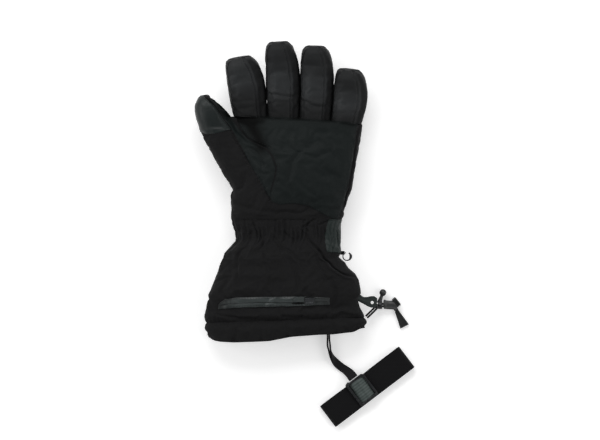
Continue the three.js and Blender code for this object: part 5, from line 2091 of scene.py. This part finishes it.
# %% Zip tapes
zip_marks = (218.6, 222, 226, 235, 262, 300, 329.5)
zip_top = spots(zip(zip_marks, (304.5, 300.6, 298.4, 297.1, 296.2, 295.9, 297.1)))
zip_middle = spots(zip(zip_marks, (306, 304.8, 303.8, 302.7, 301.9, 301.4, 300.7)))
zip_bottom = spots(zip(zip_marks, (308.8, 308.5, 308.2, 307.2, 306.2, 305.3, 303.9)))
cuff_tree = skin_tree(cuff)


def zip_tape(name, lower, upper, node):
    def surface(u, v):
        x = lower[0, 0] + (lower[-1, 0] - lower[0, 0]) * u
        low, high = (np.interp(x, line[:, 0], line[:, 1]) for line in (lower, upper))
        return drop(cuff_tree, np.stack([x, low + (high - low) * v], axis=1))

    shape = {"lift": 1.1 * mm, "crown": 0.35 * mm, "thick": 0.8 * mm, "tuck": -0.5 * mm}
    tape = leather_panel(name, surface, 150, 12, **shape)
    points = points_of(tape)
    wave = 0.22 * mm * np.sin(points[:, 0] / (7.3 * mm) + 2 * np.sin(points[:, 0] / (13 * mm)))
    push(tape, wave * soft_noise(points, 40 * mm, 71))
    # Painted shade: the tapes darken towards both ends of the band and along its upper edge.
    u = (points[:, 0] - zip_top[0, 0]) / (zip_top[-1, 0] - zip_top[0, 0])
    under_top = np.interp(points[:, 0], zip_top[:, 0], zip_top[:, 1]) - points[:, 1]
    left_end, right_end = ease(0.05 + u / 0.24), 0.15 + 0.85 * ease((1 - u) / 0.26)
    keep_values(tape, tone=left_end * right_end * (0.3 + 0.7 * ease(under_top / (3.5 * mm))))
    return join_glove(tape, tape_cloth, "coated", node)


def tape_finish():
    """Coated cloth with long streaks painted lighter into its base colour as painted highlights, which also
    vary its roughness and bump; where the painted light is low it darkens to nearly black.
    """
    f = Finish("zip tape", Specular_IOR_Level=0.45)
    where = f.place()
    stretched = f.node("ShaderNodeMapping", {}, {"Vector": where, "Scale": (26, 330, 330)})
    streaks = f.noise(1, stretched, 3.0)
    cloud = f.noise(45, where)
    # Painted highlight: the streaks and a soft cloud lighten the base colour.
    shade = f.ramp(streaks * 0.7 + cloud * 0.4, (0.35, 0.0), (0.7, 1.0))
    base = f.between(shade, colour(0.021, 0.028, 0.027), colour(0.048, 0.058, 0.058))
    f.feed("Base Color", f.between(f.tone(), colour(0.009, 0.011, 0.011), base))
    f.feed("Roughness", 0.36 + 0.14 * streaks)
    f.relief(f.noise(900, where, 2.0) + 2.0 * streaks, 0.05 * mm)
    return f.material


tape_cloth = tape_finish()
tape_upper = zip_tape("zip_tape_upper_cloth", zip_middle, zip_top, "zip_tape_upper")
tape_lower = zip_tape("zip_tape_lower_cloth", zip_bottom, zip_middle, "zip_tape_lower")
print("zip tapes:", len(tape_upper.data.polygons), "faces each")

# %% [markdown]
# The slider is a small cast body with a bridge over it, and the puller is a moulded flap that lies
# along the band. Both are boxes whose faces are inset and whose edges are rounded.

# %% Slider and puller
def rounded_plate(name, low, high, corner, inset, sink, slope):
    """A plate with rounded corners and a sunk face, laid on the zip with its slope."""
    deselect()
    bpy.ops.mesh.primitive_cube_add(size=1)
    plate = bpy.context.object
    plate.name = name
    size = high - low
    move_points(plate, points_of(plate) * np.array(size))
    make_active(plate)
    select_faces(plate, lambda face: face.normal.z > 0.9)
    bpy.ops.mesh.inset(thickness=inset, use_individual=True)
    bpy.ops.mesh.inset(thickness=0.2 * mm, depth=-sink, use_individual=True)
    bpy.ops.object.mode_set(mode="OBJECT")
    round_edges(plate, corner, 4)
    middle = (low + high) / 2
    plate.data.transform(Matrix.Translation(middle) @ Matrix.Rotation(slope, 4, "X"))
    return plate


def zip_height(px, py):
    return drop(skin_tree(tape_upper, tape_lower), [spot(px, py)[:2]])[0, 2]


zip_slope = math.atan2(zip_height(298, 298) - zip_height(298, 303.5), 5.5 * pixel)
slider_low, slider_high = Vector(spot(304.4, 303.4)), Vector(spot(314.2, 296.6))
slider_low.z = zip_height(309, 300) - 0.3 * mm
slider_high.z = slider_low.z + 2.6 * mm
slider = rounded_plate("zip_slider_cast", slider_low, slider_high, 0.7 * mm, 1.5 * mm, 0.5 * mm, zip_slope)
join_glove(slider, metal, "metal_black", "zip_slider")
puller_low, puller_high = Vector(spot(293.4, 301.3)), Vector(spot(304, 296.6))
puller_low.z = zip_height(298, 299) + 0.2 * mm
puller_high.z = puller_low.z + 1.5 * mm
puller = rounded_plate("zip_puller_moulded", puller_low, puller_high, 0.5 * mm, 1 * mm, 0.25 * mm, zip_slope)
# The puller wears the tape's finish at a fixed 0.85 of its painted light, a little darker than the lit tape.
keep_values(puller, tone=np.full(len(puller.data.vertices), 0.85))
join_glove(puller, tape_cloth, "plastic", "zip_puller")
print("the zip slopes by", round(math.degrees(zip_slope), 1), "degrees")

# %% Painted shadow under the puller
def lay_puller_shadow():
    """A dark sheet laid on the tapes under the puller, as the puller's painted shadow."""
    def surface(u, v):
        x = spot(291.8, 0)[0] + (spot(305, 0)[0] - spot(291.8, 0)[0]) * u
        y = spot(0, 302.8)[1] + (v - 0.5) * 1.6 * mm * np.sqrt(np.maximum(1 - (2 * u - 1) ** 2, 0.02))
        place = drop(skin_tree(tape_upper, tape_lower), np.stack([x, y], axis=1))
        place[:, 2] += 0.45 * mm - 0.3 * mm * (1 - (2 * v - 1) ** 2) * np.sin(np.pi * u)
        return place

    slot = cloth("zip_puller_shadow", 30, 8, surface)
    apply_modifier(slot, "SOLIDIFY", thickness=0.3 * mm, offset=-1)
    return join_glove(slot, elastic, "softshell")


lay_puller_shadow()
# The zip's mouth named here is the puller's painted shadow.
print("the zip's mouth is set")

# %% [markdown]
# ## Side patch, ring and tab
# A patch of coated cloth covers the gathers at the wrist's outer side. It is laid on the body's own
# turns and pulled to the nearest cloth. Below it a small loop carries a moulded ring.

# %% Side patch
wrist_tree = skin_tree(gathered, cuff, hand)
patch_low, patch_high = cuff_top - 6 * mm, wrist_top - 2.5 * mm


def patch_surface(u, v):
    y = patch_low + (patch_high - patch_low) * v
    left = math.pi * (0.25 + 0.03 * np.sin(np.pi * v))
    place = body_point(left + (-0.06 * math.pi - left) * u, y)
    place[:, 1] -= 3.2 * mm * (1 - v) * u ** 2
    return nearest(wrist_tree, place)


side_patch = leather_panel(
    "wrist_side_cloth", patch_surface, 44, 60, lift=0.9 * mm, crown=0.5 * mm, thick=0.8 * mm
)
points = points_of(side_patch)
streak = valley(points[:, :2], spots([(323, 240), (330, 244.5), (340, 250)]), -0.8 * mm, 1.6 * mm)
push(side_patch, streak + 0.25 * mm * soft_noise(points, 16 * mm, 81))
join_glove(side_patch, coated, "coated", "wrist_side_patch")
print("side patch:", len(side_patch.data.polygons), "faces")

# %% Ring and its tab
tab_low, tab_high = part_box("ring_tab")
ring_low, ring_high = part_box("hook_ring")
ring_centre = (ring_low + ring_high) / 2


def make_ring():
    """A moulded hook: a round bar bent nearly full circle, thinner at its open end."""
    radius = (ring_high.x - ring_low.x) / 2 - 0.8 * mm

    def surface(u, v):
        around = math.radians(105) + math.radians(318) * v
        right = np.degrees(around) - 360
        bar = (0.6 + 0.95 * bell(right, 48)) * mm
        turn = 2 * np.pi * u
        reach = radius + bar * np.cos(turn)
        x, y = ring_centre.x + reach * np.cos(around), ring_centre.y + reach * np.sin(around)
        return np.stack([x, y, ring_centre.z + bar * np.sin(turn)], axis=1)

    ring = cloth("hook_ring_moulded", 16, 60, surface, tube=True, close_ends=True)
    return join_glove(ring, plastic, "plastic", "hook_ring")


def make_ring_tab():
    """A folded loop of cloth that comes out of the seam and holds the ring."""
    middle = (tab_low + tab_high) / 2

    def surface(u, v):
        across, up = rounded(2 * np.pi * u, 0.6)
        half = (tab_high.x - tab_low.x) / 2 + 0.9 * mm
        wide = (tab_high.y - tab_low.y) / 2 * (1 - 0.12 * (2 * v - 1) ** 2)
        z = middle.z + 1.25 * mm * up + 0.15 * mm * np.sin(v * 18)
        return np.stack([middle.x + half * across, middle.y + (2 * v - 1) * wide, z], axis=1)

    tab = cloth("ring_tab_cloth", 24, 14, surface, tube=True, close_ends=True)
    apply_modifier(tab, "SUBSURF", levels=1, render_levels=1)
    return join_glove(tab, softshell, "softshell", "ring_tab")


ring = make_ring()
ring_tab = make_ring_tab()
print("ring and tab:", len(ring.data.polygons), len(ring_tab.data.polygons), "faces")

# %% [markdown]
# ## Stitches
# A run of stitches lies in the groove beside each leather seam and along the zip. One stitch is a
# small bent thread, and its copies follow the drawn line on the cloth.

# %% Sew the stitches
stitch_length, stitch_gap, stitch_thick = 2.1 * mm, 1 * mm, 0.42 * mm


def sew(name, tree, line, lift=0.25 * mm):
    """Stitches along a drawn line, laid on the cloth below it."""
    flat = smooth_route(np.column_stack([line, np.zeros(len(line))]), 400)
    count = int(route_length(flat) / (stitch_length + stitch_gap))
    share = np.linspace(0, 1, 400)
    vertices, faces = [], []
    for k in range(count):
        ends = [(k + e) * (stitch_length + stitch_gap) / route_length(flat) for e in (0.12, 0.37, 0.62)]
        ends = [min(end, 1.0) for end in ends]
        places = [(np.interp(end, share, flat[:, 0]), np.interp(end, share, flat[:, 1])) for end in ends]
        landed = drop(tree, places)
        landed[:, 2] += np.array([-0.12, 1, -0.12]) * lift + 0.05 * mm
        ahead = landed[2] - landed[0]
        side = np.cross(ahead, [0, 0, 1])
        side *= stitch_thick / 2 / max(np.linalg.norm(side), 1e-9)
        first = len(vertices)
        for place, wide in zip(landed, (0.45, 1, 0.45)):
            for turn in range(6):
                angle = turn * math.pi / 3
                up = np.array([0, 0, math.sin(angle) * stitch_thick / 2 * wide])
                vertices.append(place + side * math.cos(angle) * wide + up)
        for row in range(2):
            for turn in range(6):
                a, b = first + row * 6 + turn, first + row * 6 + (turn + 1) % 6
                faces.append((a, b, b + 6, a + 6))
        faces.append(tuple(first + turn for turn in range(5, -1, -1)))
        faces.append(tuple(first + 12 + turn for turn in range(6)))
    mesh = bpy.data.meshes.new(name)
    mesh.from_pydata([tuple(vertex) for vertex in vertices], [], faces)
    mesh.update()
    piece = bpy.data.objects.new(name, mesh)
    bpy.context.scene.collection.objects.link(piece)
    edit_all(piece, bpy.ops.mesh.normals_make_consistent, inside=False)
    bpy.ops.object.shade_smooth()
    return join_glove(piece, thread, "softshell")


def beside(line, offset):
    """The same line, moved to its left by an offset."""
    ahead = np.gradient(line, axis=0)
    ahead /= np.linalg.norm(ahead, axis=1, keepdims=True)
    return line + np.stack([-ahead[:, 1], ahead[:, 0]], axis=1) * offset


leather_tree = skin_tree(hand, palm, gusset, thumb_tip)
zip_tree = skin_tree(cuff, tape_upper, tape_lower)
sew("palm_left_stitches", leather_tree, beside(patch_left, 2.4 * mm))
sew("palm_right_stitches", leather_tree, beside(patch_right, -2.4 * mm))
sew("palm_foot_stitches", leather_tree, beside(patch_foot, 2.4 * mm))
sew("thumb_stitches", leather_tree, beside(thumb_seam, -1.9 * mm))
sew("zip_upper_stitches", zip_tree, beside(zip_top[1:], -1.4 * mm))
sew("zip_lower_stitches", zip_tree, beside(zip_bottom[1:], 1.4 * mm))
print("stitches are sewn")

# %% [markdown]
# ## Padded pieces
# Softshell, gathers and fingers all hold insulation, so each is declared with how full it is.

padded = {hem: 0.4, cuff: 0.35, gathered: 0.5, hand: 0.6} | dict.fromkeys(finger_pieces, 0.7)
print(len(padded), "padded pieces declared")
